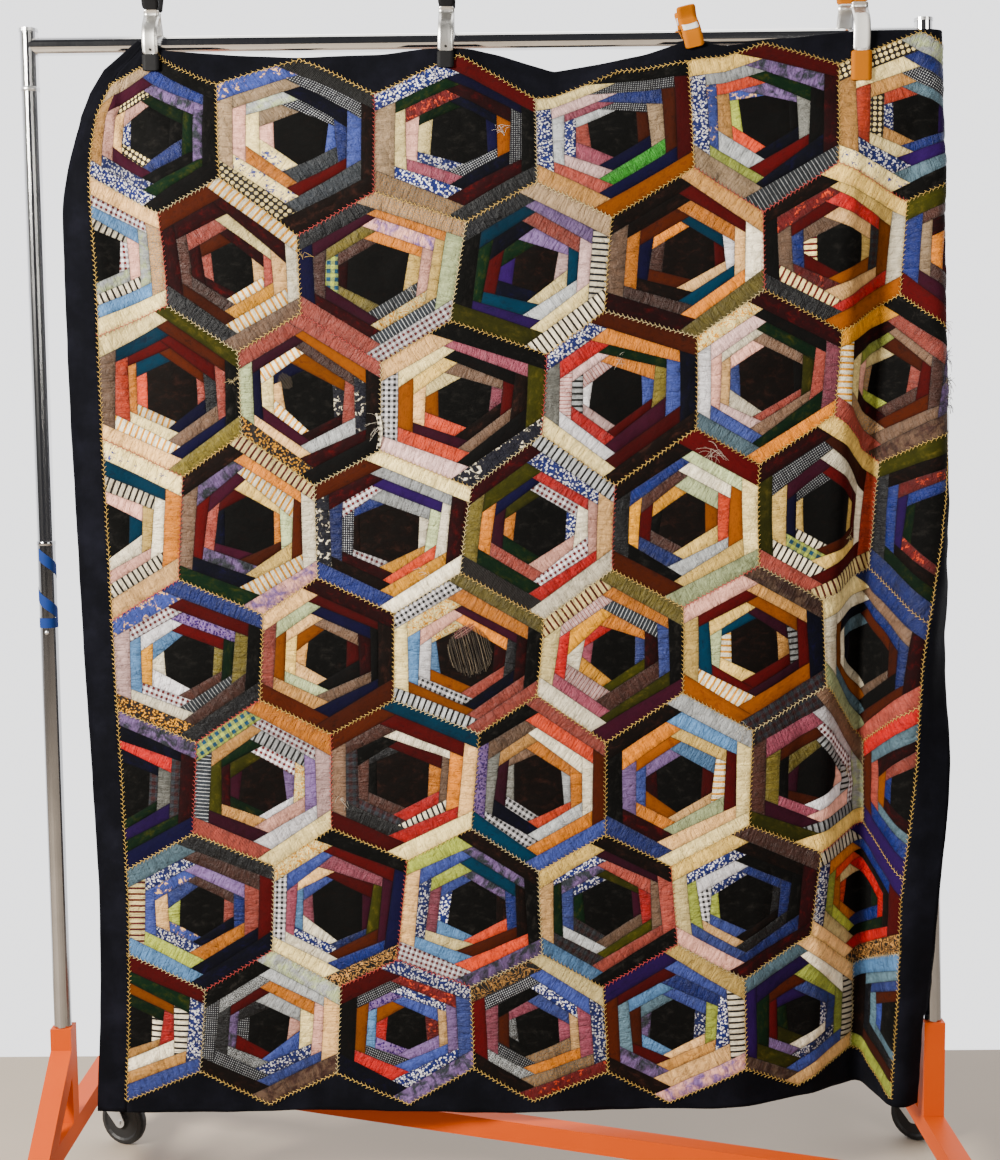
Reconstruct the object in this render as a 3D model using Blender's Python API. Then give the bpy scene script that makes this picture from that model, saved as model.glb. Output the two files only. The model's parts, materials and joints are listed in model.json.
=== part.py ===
"""Crazy quilt of log-cabin hexagons, hung by four spring clamps from a rolling rack.

Metres. X runs along the rail, the quilt faces -Y, Z is up and the floor is z = 0.
The cloth is five sheets with their real hang: the pieced field and its four border strips.
The cloth rows count u across from the quilt's left edge and v down from its top edge.
"""
import math

import bmesh
import bpy
import numpy as np
from mathutils import Matrix, Vector


def table(columns, *rows):
    """Rows of numbers as dictionaries keyed by the column names."""
    keys = columns.split()
    return [dict(zip(keys, row)) for row in rows]


# clear space between separate pieces
GAP = 0.0003

# quilt, flat sizes
WIDTH = 1.690
HEIGHT = 1.920
BORDER = 0.065
BLOCK = 0.260
CLOTH = 0.0035
BORDER_CLOTH = 0.0030
TOP_Z = 2.110
TOP_PEAK = 0.014
TOP_VALLEY = 0.088
HEM_PEAK = 1.906
HEM_VALLEY = 1.836
SEAM = 0.0002
SIDE_SEAM = 0.0003
FIELD_L = BORDER
FIELD_R = WIDTH - BORDER

# plane of the cloth in front of the rail, and lower down
CLIPPED_Y = -0.0205
HUNG_Y = -0.030
CLIPPED_TO = 2.000

# rack
TUBE_R = 0.0159
RAIL_Z = 2.104
POST_X = 0.800
POST_LEAN = 0.040
TUBE_TOP = 2.128
TUBE_JOINT = 1.235
CAP_TOP = 2.134
BAR = 0.038
BAR_TOP = 0.166
SOCKET_TOP = 0.343
FOOT_HALF = 0.305
BRACE_TOP = 0.303
BRACE_REACH = 0.181
CROSS_END = 0.286

# castors
WHEEL_R = 0.050
WHEEL_W = 0.024
BORE_R = 0.0043
AXLE_R = 0.0040
FORK_IN = 0.0145
FORK_T = 0.0025
CROWN_Z = 0.1085
PLATE_T = 0.004
CASTOR_Y = 0.282
TRAIL = 0.045

# one row per height: x of the left edge, x where the folds begin, headings of the cloth in plan
# (degrees, plus is away from the viewer) before the ridge, down to the trough, up from it and
# past the side turn, then the distances of ridge, trough and side turn from the field's right edge
# and how much cloth the side turn takes
PLAN = table(
    "z left fold bow back front side ridge trough turn round",
    (2.11, -0.745, 0.487, 0, 0, 0, 160, 0.25, 0.13, 0.080, 0.07),
    (1.99, -0.747, 0.487, 0, 0, 0, 158, 0.25, 0.13, 0.078, 0.07),
    (1.90, -0.750, 0.484, -8, 15, -6, 150, 0.25, 0.13, 0.066, 0.07),
    (1.76, -0.753, 0.480, -8, 30, -27, 140, 0.25, 0.150, 0.056, 0.07),
    (1.51, -0.752, 0.482, 2, 56, -45, 118, 0.24, 0.170, 0.022, 0.08),
    (1.28, -0.746, 0.464, 4, 55, -42, 84, 0.236, 0.160, 0.004, 0.09),
    (1.03, -0.740, 0.468, 18, 54, -62, 52, 0.237, 0.168, 0.008, 0.1),
    (0.81, -0.732, 0.456, 15, 44, -68, 10, 0.238, 0.146, 0.020, 0.08),
    (0.57, -0.726, 0.446, 10, 42, -74, -2, 0.245, 0.130, -0.004, 0.07),
    (0.36, -0.732, 0.450, 20, 34, -76, 40, 0.245, 0.128, -0.010, 0.06),
    (0.19, -0.744, 0.450, 25, 34, -76, 42, 0.245, 0.128, -0.012, 0.06),
)
FOLD_START = 0.455
BOW_WIDTH = 0.100
CREASE_WIDTH = 0.036
TUBE_CLEAR = 0.0240
SOCKET_CLEAR = 0.0308

# the corner gathered into the first clamp: x of the outer edge, the field's edge, the first
# block's middle and the seam after it, by height
GATHER = table(
    "z edge field middle seam",
    (2.11, -0.606, -0.590, -0.566, -0.466),
    (2.06, -0.668, -0.640, -0.576, -0.464),
    (2.02, -0.694, -0.664, -0.582, -0.462),
    (1.98, -0.711, -0.684, -0.587, -0.460),
    (1.92, -0.726, -0.697, -0.588, -0.456),
    (1.86, -0.752, -0.695, -0.582, -0.450),
    (1.70, -0.753, -0.688, -0.560, -0.430),
)
GATHER_END = 1.60

# top edge between the clamps: how far it sags, and leans back under the rail
TOP_EDGE = table(
    "u sag lean",
    (0.000, 0.003, 0.000),
    (0.160, 0.017, 0.000),
    (0.260, 0.024, 0.000),
    (0.420, 0.033, 0.010),
    (0.560, 0.030, 0.007),
    (0.640, 0.023, 0.000),
    (0.675, 0.021, 0.000),
    (0.720, 0.024, 0.000),
    (0.770, 0.034, 0.008),
    (0.862, 0.061, 0.018),
    (0.940, 0.050, 0.013),
    (1.020, 0.036, 0.006),
    (1.070, 0.022, 0.000),
    (1.105, 0.013, 0.000),
    (1.160, 0.024, 0.000),
    (1.240, 0.015, 0.000),
    (1.390, 0.001, 0.000),
    (1.690, -0.002, 0.000),
)
SAG_DEPTH = 0.360

# soft troughs (plus) and ridges (minus) down the cloth: place, half width, depth high and low
RIPPLES = table(
    "u half high low",
    (0.000, 0.050, 0.010, 0.008),
    (0.130, 0.045, 0.016, 0.001),
    (0.420, 0.110, 0.003, 0.007),
    (0.790, 0.150, -0.004, -0.012),
    (1.060, 0.090, 0.005, 0.003),
)

# clamps: middle in x, widths of arm and jaw pad, sideways lean, shift of the rear arm
CLAMPS = table(
    "name x arm pad lean rear kind grip",
    ("clamp_1", -0.5820, 0.027, 0.029, 0.0, 0.0, "steel", "black_vinyl"),
    ("clamp_2", -0.0705, 0.027, 0.029, -1.5, 0.0, "steel", "black_vinyl"),
    ("clamp_3", 0.3560, 0.033, 0.033, 13.0, 0.0, "small", "orange_vinyl"),
    ("clamp_4", 0.6475, 0.029, 0.035, 0.0, -0.020, "large", "orange_vinyl"),
)
# side outlines of the arms: y and z of points along the middle of the strip, jaw end first
STEEL_FRONT = [
    (-0.0265, 2.0830), (-0.0310, 2.1040), (-0.0285, 2.1290),
    (-0.0075, 2.1500), (-0.0075, 2.1570), (-0.0110, 2.1620),
]
STEEL_REAR = [
    (-0.0117, 2.0613), (0.0040, 2.0700), (0.0190, 2.0840), (0.0245, 2.1040),
    (0.0210, 2.1290), (0.0055, 2.1500), (0.0055, 2.1570), (0.0090, 2.1620),
]
SMALL_FRONT = [
    (-0.0252, 2.0840), (-0.0275, 2.1080), (-0.0205, 2.1220),
    (-0.0091, 2.1340), (-0.0091, 2.1410), (-0.0210, 2.1565),
]
SMALL_REAR = [
    (0.0205, 2.0840), (0.0235, 2.1080), (0.0185, 2.1220),
    (0.0091, 2.1340), (0.0091, 2.1410), (0.0210, 2.1565),
]
GRIP_RISE = [(0.0016, 2.1617), (0.0220, 2.1980), (0.0330, 2.2260), (0.0340, 2.2420)]
ARM_T = 0.0016
SMALL_T = 0.0050
GRIP_T = 0.0050
PAD_T = 0.0060
PIN_Z = 2.1535
SMALL_PIN_Z = 2.1375

COLOURS = {
    "field_patchwork": ((0.30, 0.20, 0.15, 1.0), 0.80, 0.0),
    "border_cotton": ((0.012, 0.013, 0.020, 1.0), 0.92, 0.0),
    "chrome_tube": ((0.72, 0.72, 0.73, 1.0), 0.12, 1.0),
    "tube_cap": ((0.60, 0.60, 0.61, 1.0), 0.25, 1.0),
    "orange_paint": ((0.85, 0.20, 0.02, 1.0), 0.35, 0.0),
    "zinc_plate": ((0.55, 0.56, 0.57, 1.0), 0.40, 1.0),
    "wheel_rubber": ((0.015, 0.015, 0.016, 1.0), 0.60, 0.0),
    "clamp_steel": ((0.66, 0.66, 0.66, 1.0), 0.22, 1.0),
    "black_vinyl": ((0.012, 0.012, 0.012, 1.0), 0.45, 0.0),
    "orange_vinyl": ((0.90, 0.30, 0.01, 1.0), 0.40, 0.0),
}


def clear_scene():
    for thing in list(bpy.data.objects):
        bpy.data.objects.remove(thing, do_unlink=True)


def material(name):
    mat = bpy.data.materials.get(name)
    if mat:
        return mat
    colour, rough, metal = COLOURS[name]
    mat = bpy.data.materials.new(name)
    mat.use_nodes = True
    shader = mat.node_tree.nodes["Principled BSDF"]
    shader.inputs["Base Color"].default_value = colour
    shader.inputs["Roughness"].default_value = rough
    shader.inputs["Metallic"].default_value = metal
    return mat


def body(name, verts, faces, mat, smooth=False):
    mesh = bpy.data.meshes.new(name)
    mesh.from_pydata([tuple(v) for v in verts], [], faces)
    work = bmesh.new()
    work.from_mesh(mesh)
    bmesh.ops.recalc_face_normals(work, faces=work.faces)
    work.to_mesh(mesh)
    work.free()
    for face in mesh.polygons:
        face.use_smooth = smooth
    thing = bpy.data.objects.new(name, mesh)
    bpy.context.scene.collection.objects.link(thing)
    mesh.materials.append(material(mat))
    return thing


def post_x(side, z):
    """Middle of an upright at height z: the right one leans in toward the rail."""
    if side < 0:
        return -POST_X
    return POST_X - POST_LEAN * np.maximum(z - SOCKET_TOP, 0.0) / (CAP_TOP - SOCKET_TOP)


# the hang of the cloth

def ease(t):
    t = np.clip(t, 0.0, 1.0)
    return t * t * (3.0 - 2.0 * t)


def column(table, key):
    return np.array([row[key] for row in table])


def at_height(table, key, z):
    heights = column(table, "z")[::-1]
    return np.interp(z, heights, column(table, key)[::-1])


def soften(values, count, axis):
    pad = [(0, 0), (0, 0)]
    pad[axis] = (count, count)
    padded = np.pad(values, pad, mode="edge")
    total = np.zeros_like(values)
    for shift in range(2 * count + 1):
        span = slice(shift, shift + values.shape[axis])
        total += padded[span, :] if axis == 0 else padded[:, span]
    return total / (2 * count + 1)


STEP_U = 0.0025
STEP_Z = 0.010
PLAN_U = np.linspace(0.0, WIDTH, int(round(WIDTH / STEP_U)) + 1)
PLAN_Z = np.linspace(TOP_Z, TOP_Z - HEIGHT, int(round(HEIGHT / STEP_Z)) + 1)


def plan_row(z):
    row = {key: at_height(PLAN, key, z) for key in PLAN[0] if key != "z"}
    start = FIELD_R - FOLD_START
    scale = (row["fold"] - row["left"]) / (FIELD_R - 0.390)
    x = row["left"] + PLAN_U * scale
    if z > GATHER_END:
        knots_u = [0.0, BORDER, BORDER + BLOCK / 2, BORDER + BLOCK, BORDER + 1.5 * BLOCK]
        knots_x = [at_height(GATHER, key, z) for key in ("edge", "field", "middle", "seam")]
        knots_x.append(row["left"] + knots_u[-1] * scale)
        gathered = np.interp(PLAN_U, knots_u, knots_x)
        share = ease((z - GATHER_END) / 0.12)
        near = PLAN_U < knots_u[-1]
        x = np.where(near, x + (gathered - x) * share, x)
    from_right = FIELD_R - PLAN_U
    heading = row["bow"] * ease((FOLD_START - from_right) / BOW_WIDTH)
    for place, width, before, after in (
        ("ridge", CREASE_WIDTH, "bow", "back"),
        ("trough", CREASE_WIDTH, "back", "front"),
        ("turn", row["round"], "front", "side"),
    ):
        share = ease((row[place] - from_right) / width + 0.5)
        heading = heading + (row[after] - row[before]) * share
    turn = np.radians(heading)
    mean = 0.5 * (turn[1:] + turn[:-1])
    run = np.concatenate([[0.0], np.cumsum(np.cos(mean) * STEP_U)])
    rise = np.concatenate([[0.0], np.cumsum(np.sin(mean) * STEP_U)])
    first = int(round(start / STEP_U))
    x = np.where(PLAN_U > start, x[first] + run - run[first], x)
    y = np.where(PLAN_U > start, rise - rise[first], 0.0)
    loose = ease((CLIPPED_TO - z) / 0.10)
    low = (CLIPPED_TO - z) / (CLIPPED_TO + HEIGHT - TOP_Z)
    for fold in RIPPLES:
        depth = fold["high"] + (fold["low"] - fold["high"]) * ease(low * 1.4)
        y = y + loose * depth * np.exp(-((PLAN_U - fold["u"]) / fold["half"]) ** 2)
    return x, y + CLIPPED_Y + (HUNG_Y - CLIPPED_Y) * loose


def plan_sheets():
    rows = [plan_row(z) for z in PLAN_Z]
    xs = np.array([row[0] for row in rows])
    ys = np.array([row[1] for row in rows])
    near = np.broadcast_to(PLAN_U < 0.60, xs.shape)
    xs = np.where(near, soften(xs, 12, 1), xs)
    fixed = 12
    lower_x = soften(xs, 6, 0)
    lower_y = soften(ys, 6, 0)
    share = ease((np.arange(len(rows)) - fixed) / 6.0)[:, None]
    xs = xs + (lower_x - xs) * share
    ys = ys + (lower_y - ys) * share
    post = post_x(1, PLAN_Z)[:, None]
    keep = np.where(PLAN_Z < SOCKET_TOP + 0.02, SOCKET_CLEAR, TUBE_CLEAR)[:, None]
    away = np.maximum(np.hypot(xs - post, ys), 1e-6)
    push = np.maximum(keep / away, 1.0)
    return post + (xs - post) * push, ys * push


PLAN_X, PLAN_Y = plan_sheets()


def rest(u, v):
    """Middle of the cloth at u across and v down, as an array of points."""
    u = np.asarray(u, float)
    v = np.asarray(v, float)
    i = np.clip(v / STEP_Z, 0, len(PLAN_Z) - 1.001)
    j = np.clip(u / STEP_U, 0, len(PLAN_U) - 1.001)
    i0 = i.astype(int)
    j0 = j.astype(int)
    fi = i - i0
    fj = j - j0
    out = []
    for sheet in (PLAN_X, PLAN_Y):
        top = sheet[i0, j0] * (1 - fj) + sheet[i0, j0 + 1] * fj
        low = sheet[i0 + 1, j0] * (1 - fj) + sheet[i0 + 1, j0 + 1] * fj
        out.append(top * (1 - fi) + low * fi)
    fade = np.clip(1.0 - v / SAG_DEPTH, 0.0, 1.0) ** 2
    places = column(TOP_EDGE, "u")
    sag = np.interp(u, places, column(TOP_EDGE, "sag"))
    lean = np.interp(u, places, column(TOP_EDGE, "lean"))
    return np.stack([out[0], out[1] + lean * fade, TOP_Z - v - sag * fade], axis=-1)


def face_normal(u, v):
    across = rest(np.minimum(u + 0.005, WIDTH), v) - rest(np.maximum(u - 0.005, 0.0), v)
    down = rest(u, np.minimum(v + 0.008, HEIGHT)) - rest(u, np.maximum(v - 0.008, 0.0))
    normal = np.cross(down, across)
    return normal / np.linalg.norm(normal, axis=-1, keepdims=True)


def sheet_body(name, us, vs, thick, mat):
    """Closed sheet from matching grids of u and v (rows down, columns across)."""
    middle = rest(us, vs)
    offset = face_normal(us, vs) * thick / 2
    front = middle + offset
    back = middle - offset
    rows, cols = us.shape
    verts = [p for p in front.reshape(-1, 3)] + [p for p in back.reshape(-1, 3)]
    count = rows * cols
    faces = []
    for r in range(rows - 1):
        for c in range(cols - 1):
            a = r * cols + c
            quad = [a, a + 1, a + cols + 1, a + cols]
            faces.append(quad)
            faces.append([count + k for k in reversed(quad)])
    rim = [c for c in range(cols)]
    rim += [r * cols + cols - 1 for r in range(1, rows)]
    rim += [(rows - 1) * cols + c for c in range(cols - 2, -1, -1)]
    rim += [r * cols for r in range(rows - 2, 0, -1)]
    for k, a in enumerate(rim):
        b = rim[(k + 1) % len(rim)]
        if b > a:
            faces += [[b, a, count + b], [a, count + a, count + b]]
        else:
            faces += [[b, a, count + a], [b, count + a, count + b]]
    return body(name, verts, faces, mat, smooth=True)


def zigzag(u, at_peak, at_valley):
    """Outline of the blocks: at_peak above each full block of the row, at_valley between."""
    phase = np.abs(((u - BORDER) / BLOCK) % 1.0 - 0.5) * 2.0
    return at_peak + (at_valley - at_peak) * phase


def field_columns():
    parts = [
        np.arange(FIELD_L, FIELD_L + BLOCK - 1e-6, BLOCK / 8),
        np.arange(FIELD_L + BLOCK, FIELD_R - 0.455 - 1e-6, BLOCK / 4),
        np.arange(FIELD_R - 0.455, FIELD_R + 1e-6, BLOCK / 16),
    ]
    return np.concatenate(parts)


def build_quilt():
    cols = field_columns()
    cols[0] += SIDE_SEAM
    cols[-1] -= SIDE_SEAM
    top = zigzag(cols, TOP_PEAK, TOP_VALLEY)
    bottom = zigzag(cols, HEM_VALLEY, HEM_PEAK)
    level = np.concatenate([[0.13, 0.18, 0.24], np.linspace(0.305, 1.745, 24), [1.795]])
    vs = [top + SEAM, 0.5 * (top + level[0]) + 0.01]
    vs += [np.full_like(cols, v) for v in level]
    vs += [bottom - SEAM]
    vs = np.array(vs)
    us = np.broadcast_to(cols, vs.shape).copy()
    sheet_body("quilt_field", us, vs, CLOTH, "field_patchwork")

    thirds = (0.0, 1 / 3, 2 / 3, 1.0)
    vs = np.array([(top - SEAM) * part for part in thirds])
    us = np.broadcast_to(cols, vs.shape).copy()
    sheet_body("border_top", us, vs, BORDER_CLOTH, "border_cotton")
    vs = np.array([bottom + SEAM, np.full_like(cols, HEIGHT)])
    us = np.broadcast_to(cols, vs.shape).copy()
    sheet_body("border_bottom", us, vs, BORDER_CLOTH, "border_cotton")

    start = [TOP_VALLEY * part for part in thirds] + [0.5 * (TOP_VALLEY + level[0]) + 0.01]
    down = np.concatenate([start, level, [HEM_PEAK, HEIGHT]])
    for name, edge, inner, count in (
        ("border_left", 0.0, FIELD_L - SIDE_SEAM, 2),
        ("border_right", FIELD_R + SIDE_SEAM, WIDTH, 6),
    ):
        across = np.linspace(edge, inner, count + 1)
        us, vs = np.meshgrid(across, down)
        sheet_body(name, us, vs, BORDER_CLOTH, "border_cotton")


# the rack

def upright_piece(name, side, low, high, radius, mat, sides=24):
    verts = []
    for z in (low, high):
        for k in range(sides):
            a = 2 * math.pi * k / sides
            verts.append((post_x(side, z) + radius * math.cos(a), radius * math.sin(a), z))
    faces = [[k, (k + 1) % sides, sides + (k + 1) % sides, sides + k] for k in range(sides)]
    faces.append(list(range(sides)))
    faces.append([sides + k for k in range(sides)])
    shade_round(body(name, verts, faces, mat))


def shade_round(thing, sharp=35.0):
    thing.data.shade_smooth()
    thing.data.set_sharp_from_angle(angle=math.radians(sharp))


def build_rail():
    sides = 24
    verts = []
    for side in (-1, 1):
        for k in range(sides):
            a = 2 * math.pi * k / sides
            y = TUBE_R * math.cos(a)
            z = RAIL_Z + TUBE_R * math.sin(a)
            reach = math.sqrt(max(TUBE_R ** 2 - y ** 2, 0.0)) + GAP
            verts.append((post_x(side, z) - side * reach, y, z))
    faces = [[k, (k + 1) % sides, sides + (k + 1) % sides, sides + k] for k in range(sides)]
    for base in (0, sides):
        for k in range(sides // 2):
            low = (sides - k) % sides
            ring = [base + k, base + k + 1, base + sides - k - 1, base + low]
            faces.append(list(dict.fromkeys(ring)))
    shade_round(body("hanging_rail", verts, faces, "chrome_tube"))


def box_body(name, low, high, mat):
    x0, y0, z0 = low
    x1, y1, z1 = high
    verts = [(x, y, z) for z in (z0, z1) for x, y in ((x0, y0), (x1, y0), (x1, y1), (x0, y1))]
    faces = [[0, 1, 2, 3], [4, 5, 6, 7], [0, 1, 5, 4], [1, 2, 6, 5], [2, 3, 7, 6], [3, 0, 4, 7]]
    return body(name, verts, faces, mat)


def prism(name, outline, low, high, place, mat):
    """Closed prism: outline in the plane of place's first two axes, low to high on its third."""
    verts = [place @ Vector((a, b, low)) for a, b in outline]
    verts += [place @ Vector((a, b, high)) for a, b in outline]
    n = len(outline)
    faces = [[k, (k + 1) % n, n + (k + 1) % n, n + k] for k in range(n)]
    faces.append(list(range(n)))
    faces.append([n + k for k in range(n)])
    return body(name, verts, faces, mat)


def build_base():
    half = BAR / 2
    bar_low = BAR_TOP - BAR
    for label, side in (("left", -1), ("right", 1)):
        x = side * POST_X
        low = (x - half, -FOOT_HALF, bar_low)
        box_body("foot_bar_" + label, low, (x + half, FOOT_HALF, BAR_TOP), "orange_paint")
        low = (x - half, -half, BAR_TOP + GAP)
        box_body("socket_post_" + label, low, (x + half, half, SOCKET_TOP), "orange_paint")
        run = BRACE_REACH - half
        rise = BRACE_TOP - BAR_TOP
        slope = math.hypot(run, rise)
        foot = BAR * slope / rise
        head = BAR * slope / run
        near = half + GAP
        floor = BAR_TOP + GAP
        outline = [(near, BRACE_TOP), (BRACE_REACH, floor), (BRACE_REACH - foot, floor)]
        outline.append((near, BRACE_TOP - head))
        outline = [(side * y, z) for y, z in outline]
        place = Matrix(((0, 0, 1, x), (1, 0, 0, 0), (0, 1, 0, 0), (0, 0, 0, 1)))
        prism("brace_" + label, outline, -half, half, place, "orange_paint")
    start = Vector((-POST_X, CROSS_END))
    finish = Vector((POST_X, -CROSS_END))
    along = (finish - start).normalized()
    across = Vector((-along.y, along.x)) * half
    stop = POST_X - half - GAP
    corners = []
    for edge, x in ((across, -stop), (-across, -stop), (-across, stop), (across, stop)):
        point = start + edge
        corners.append((x, point.y + (x - point.x) * along.y / along.x))
    prism("cross_bar", corners, bar_low, BAR_TOP, Matrix.Identity(4), "orange_paint")


def revolve(name, profile, place, mat, sides=24):
    """Closed ring about the third axis of place: (radius to the flats, offset) points."""
    verts = []
    wide = 1 / math.cos(math.pi / sides)
    for k in range(sides):
        a = 2 * math.pi * (k + 0.5) / sides
        spoke = Vector((wide * math.cos(a), wide * math.sin(a), 0.0))
        verts += [place @ (spoke * r + Vector((0.0, 0.0, h))) for r, h in profile]
    n = len(profile)
    faces = []
    for k in range(sides):
        m = (k + 1) % sides
        for j in range(n):
            i = (j + 1) % n
            faces.append([k * n + j, m * n + j, m * n + i, k * n + i])
    thing = body(name, verts, faces, mat)
    shade_round(thing, 40.0)
    return thing


def rod(name, radius, low, high, place, mat, sides=16):
    angles = [2 * math.pi * k / sides for k in range(sides)]
    outline = [(radius * math.cos(a), radius * math.sin(a)) for a in angles]
    thing = prism(name, outline, low, high, place, mat)
    shade_round(thing)
    return thing


def combine(thing, other, operation):
    step = thing.modifiers.new(operation.lower(), "BOOLEAN")
    step.operation = operation
    step.solver = "EXACT"
    step.object = other
    bpy.context.view_layer.update()
    graph = bpy.context.evaluated_depsgraph_get()
    mesh = bpy.data.meshes.new_from_object(thing.evaluated_get(graph))
    thing.modifiers.clear()
    thing.data = mesh
    bpy.data.objects.remove(other, do_unlink=True)


def turned(x, y, yaw):
    return Matrix.Translation((x, y, 0.0)) @ Matrix.Rotation(math.radians(yaw), 4, "Z")


def build_castor(label, x, y, yaw):
    frame = turned(x, y, yaw)
    swivel = Matrix.Translation((x, y, 0.0))
    upper = BAR_TOP - BAR - GAP
    plate = [(-0.019, -0.030), (0.019, -0.030), (0.019, 0.030), (-0.019, 0.030)]
    thing = prism("castor_plate_" + label, plate, upper - PLATE_T, upper, swivel, "zinc_plate")
    boss_low = CROWN_Z + 0.0035 + GAP
    boss = rod("boss", 0.0165, boss_low, upper - PLATE_T / 2, swivel, "zinc_plate", 20)
    combine(thing, boss, "UNION")

    side_axes = Matrix(((1, 0, 0, 0), (0, 0, 1, 0), (0, 1, 0, 0), (0, 0, 0, 1)))
    side_frame = frame @ side_axes
    axle_centre = (TRAIL, WHEEL_R)
    leg = [(-0.017, CROWN_Z + 0.0035), (-0.017, CROWN_Z - 0.006)]
    for k in range(7):
        a = math.radians(205 + 27 * k)
        leg.append((axle_centre[0] + 0.012 * math.cos(a), axle_centre[1] + 0.012 * math.sin(a)))
    leg += [(0.030, CROWN_Z - 0.004), (0.028, CROWN_Z + 0.0035)]
    outer = FORK_IN + FORK_T
    fork = prism("castor_fork_" + label, leg, -outer, outer, side_frame, "zinc_plate")
    hollow = [(-0.040, -0.010), (0.080, -0.010), (0.080, CROWN_Z), (-0.040, CROWN_Z)]
    combine(fork, prism("hollow", hollow, -FORK_IN, FORK_IN, side_frame, "zinc_plate"), "DIFFERENCE")
    hub = frame @ Matrix.Translation((TRAIL, 0.0, WHEEL_R)) @ Matrix.Rotation(math.radians(90), 4, "X")
    combine(fork, rod("bore", BORE_R, -0.03, 0.03, hub, "zinc_plate"), "DIFFERENCE")
    end = outer + 0.003
    axle = rod("castor_axle_" + label, AXLE_R, -end, end, hub, "zinc_plate")

    half = WHEEL_W / 2
    profile = [
        (BORE_R, -half), (0.013, -half), (0.016, -0.008), (0.036, -0.008), (0.040, -half + 0.001),
        (0.0475, -half + 0.003), (WHEEL_R, -0.004), (WHEEL_R, 0.004), (0.0475, half - 0.003),
        (0.040, half - 0.001), (0.036, 0.008), (0.016, 0.008), (0.013, half), (BORE_R, half),
    ]
    wheel = revolve("castor_wheel_" + label, profile, hub, "wheel_rubber")
    move_origin(wheel, hub.translation)
    move_origin(fork, Vector((x, y, CROWN_Z)))
    move_origin(axle, Vector((x, y, WHEEL_R)))


def move_origin(thing, point):
    thing.data.transform(Matrix.Translation(-point))
    thing.matrix_world = Matrix.Translation(point)


def build_rack():
    for label, side in (("left", -1), ("right", 1)):
        for part, low, high, radius, mat in (
            ("lower", SOCKET_TOP + GAP, TUBE_JOINT, TUBE_R, "chrome_tube"),
            ("upper", TUBE_JOINT + GAP, TUBE_TOP, TUBE_R, "chrome_tube"),
            ("cap", TUBE_TOP + GAP, CAP_TOP, TUBE_R + 0.0006, "tube_cap"),
        ):
            upright_piece("upright_" + part + "_" + label, side, low, high, radius, mat)
    build_rail()
    build_base()
    for label, x, y, yaw in (
        ("front_left", -POST_X, -CASTOR_Y, -12.0),
        ("back_left", -POST_X, CASTOR_Y, -24.0),
        ("front_right", POST_X, -CASTOR_Y, -18.0),
        ("back_right", POST_X, CASTOR_Y, -34.0),
    ):
        build_castor(label, x, y, yaw)


# the spring clamps

def strip(name, line, thick, width, place, mat):
    """Bent strip: line of (y, z) along its middle, width across x."""
    pts = [Vector(p) for p in line]
    near = []
    far = []
    for k, p in enumerate(pts):
        before = (p - pts[k - 1]).normalized() if k else (pts[1] - p).normalized()
        after = (pts[k + 1] - p).normalized() if k + 1 < len(pts) else before
        mean = (before + after).normalized()
        side = Vector((-mean.y, mean.x)) * (thick / 2) / max(mean.dot(before), 0.5)
        near.append(p + side)
        far.append(p - side)
    outline = [(p.x, p.y) for p in near + far[::-1]]
    axes = Matrix(((0, 0, 1, 0), (1, 0, 0, 0), (0, 1, 0, 0), (0, 0, 0, 1)))
    return prism(name, outline, -width / 2, width / 2, place @ axes, mat)


def clamp_place(row, shift=0.0):
    pivot = Matrix.Translation((row["x"] + shift, 0.0, RAIL_Z))
    turn = Matrix.Rotation(math.radians(-row["lean"]), 4, "Y")
    return pivot @ turn @ Matrix.Translation((0.0, 0.0, -RAIL_Z))


def pin_place(row, y, z):
    return clamp_place(row) @ Matrix.Translation((0.0, y, z)) @ Matrix.Rotation(math.radians(90), 4, "Y")


def build_small_clamp(row):
    name = row["name"]
    front = clamp_place(row)
    strip(name + "_arm_front", SMALL_FRONT, SMALL_T, row["arm"], front, row["grip"])
    strip(name + "_arm_rear", SMALL_REAR, SMALL_T, row["arm"], front, row["grip"])
    radius = SMALL_FRONT[3][0] + SMALL_T / 2 + GAP
    place = pin_place(row, 0.0, SMALL_PIN_Z)
    rod(name + "_pin", -radius, -row["arm"] / 2, row["arm"] / 2, place, "clamp_steel")


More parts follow.
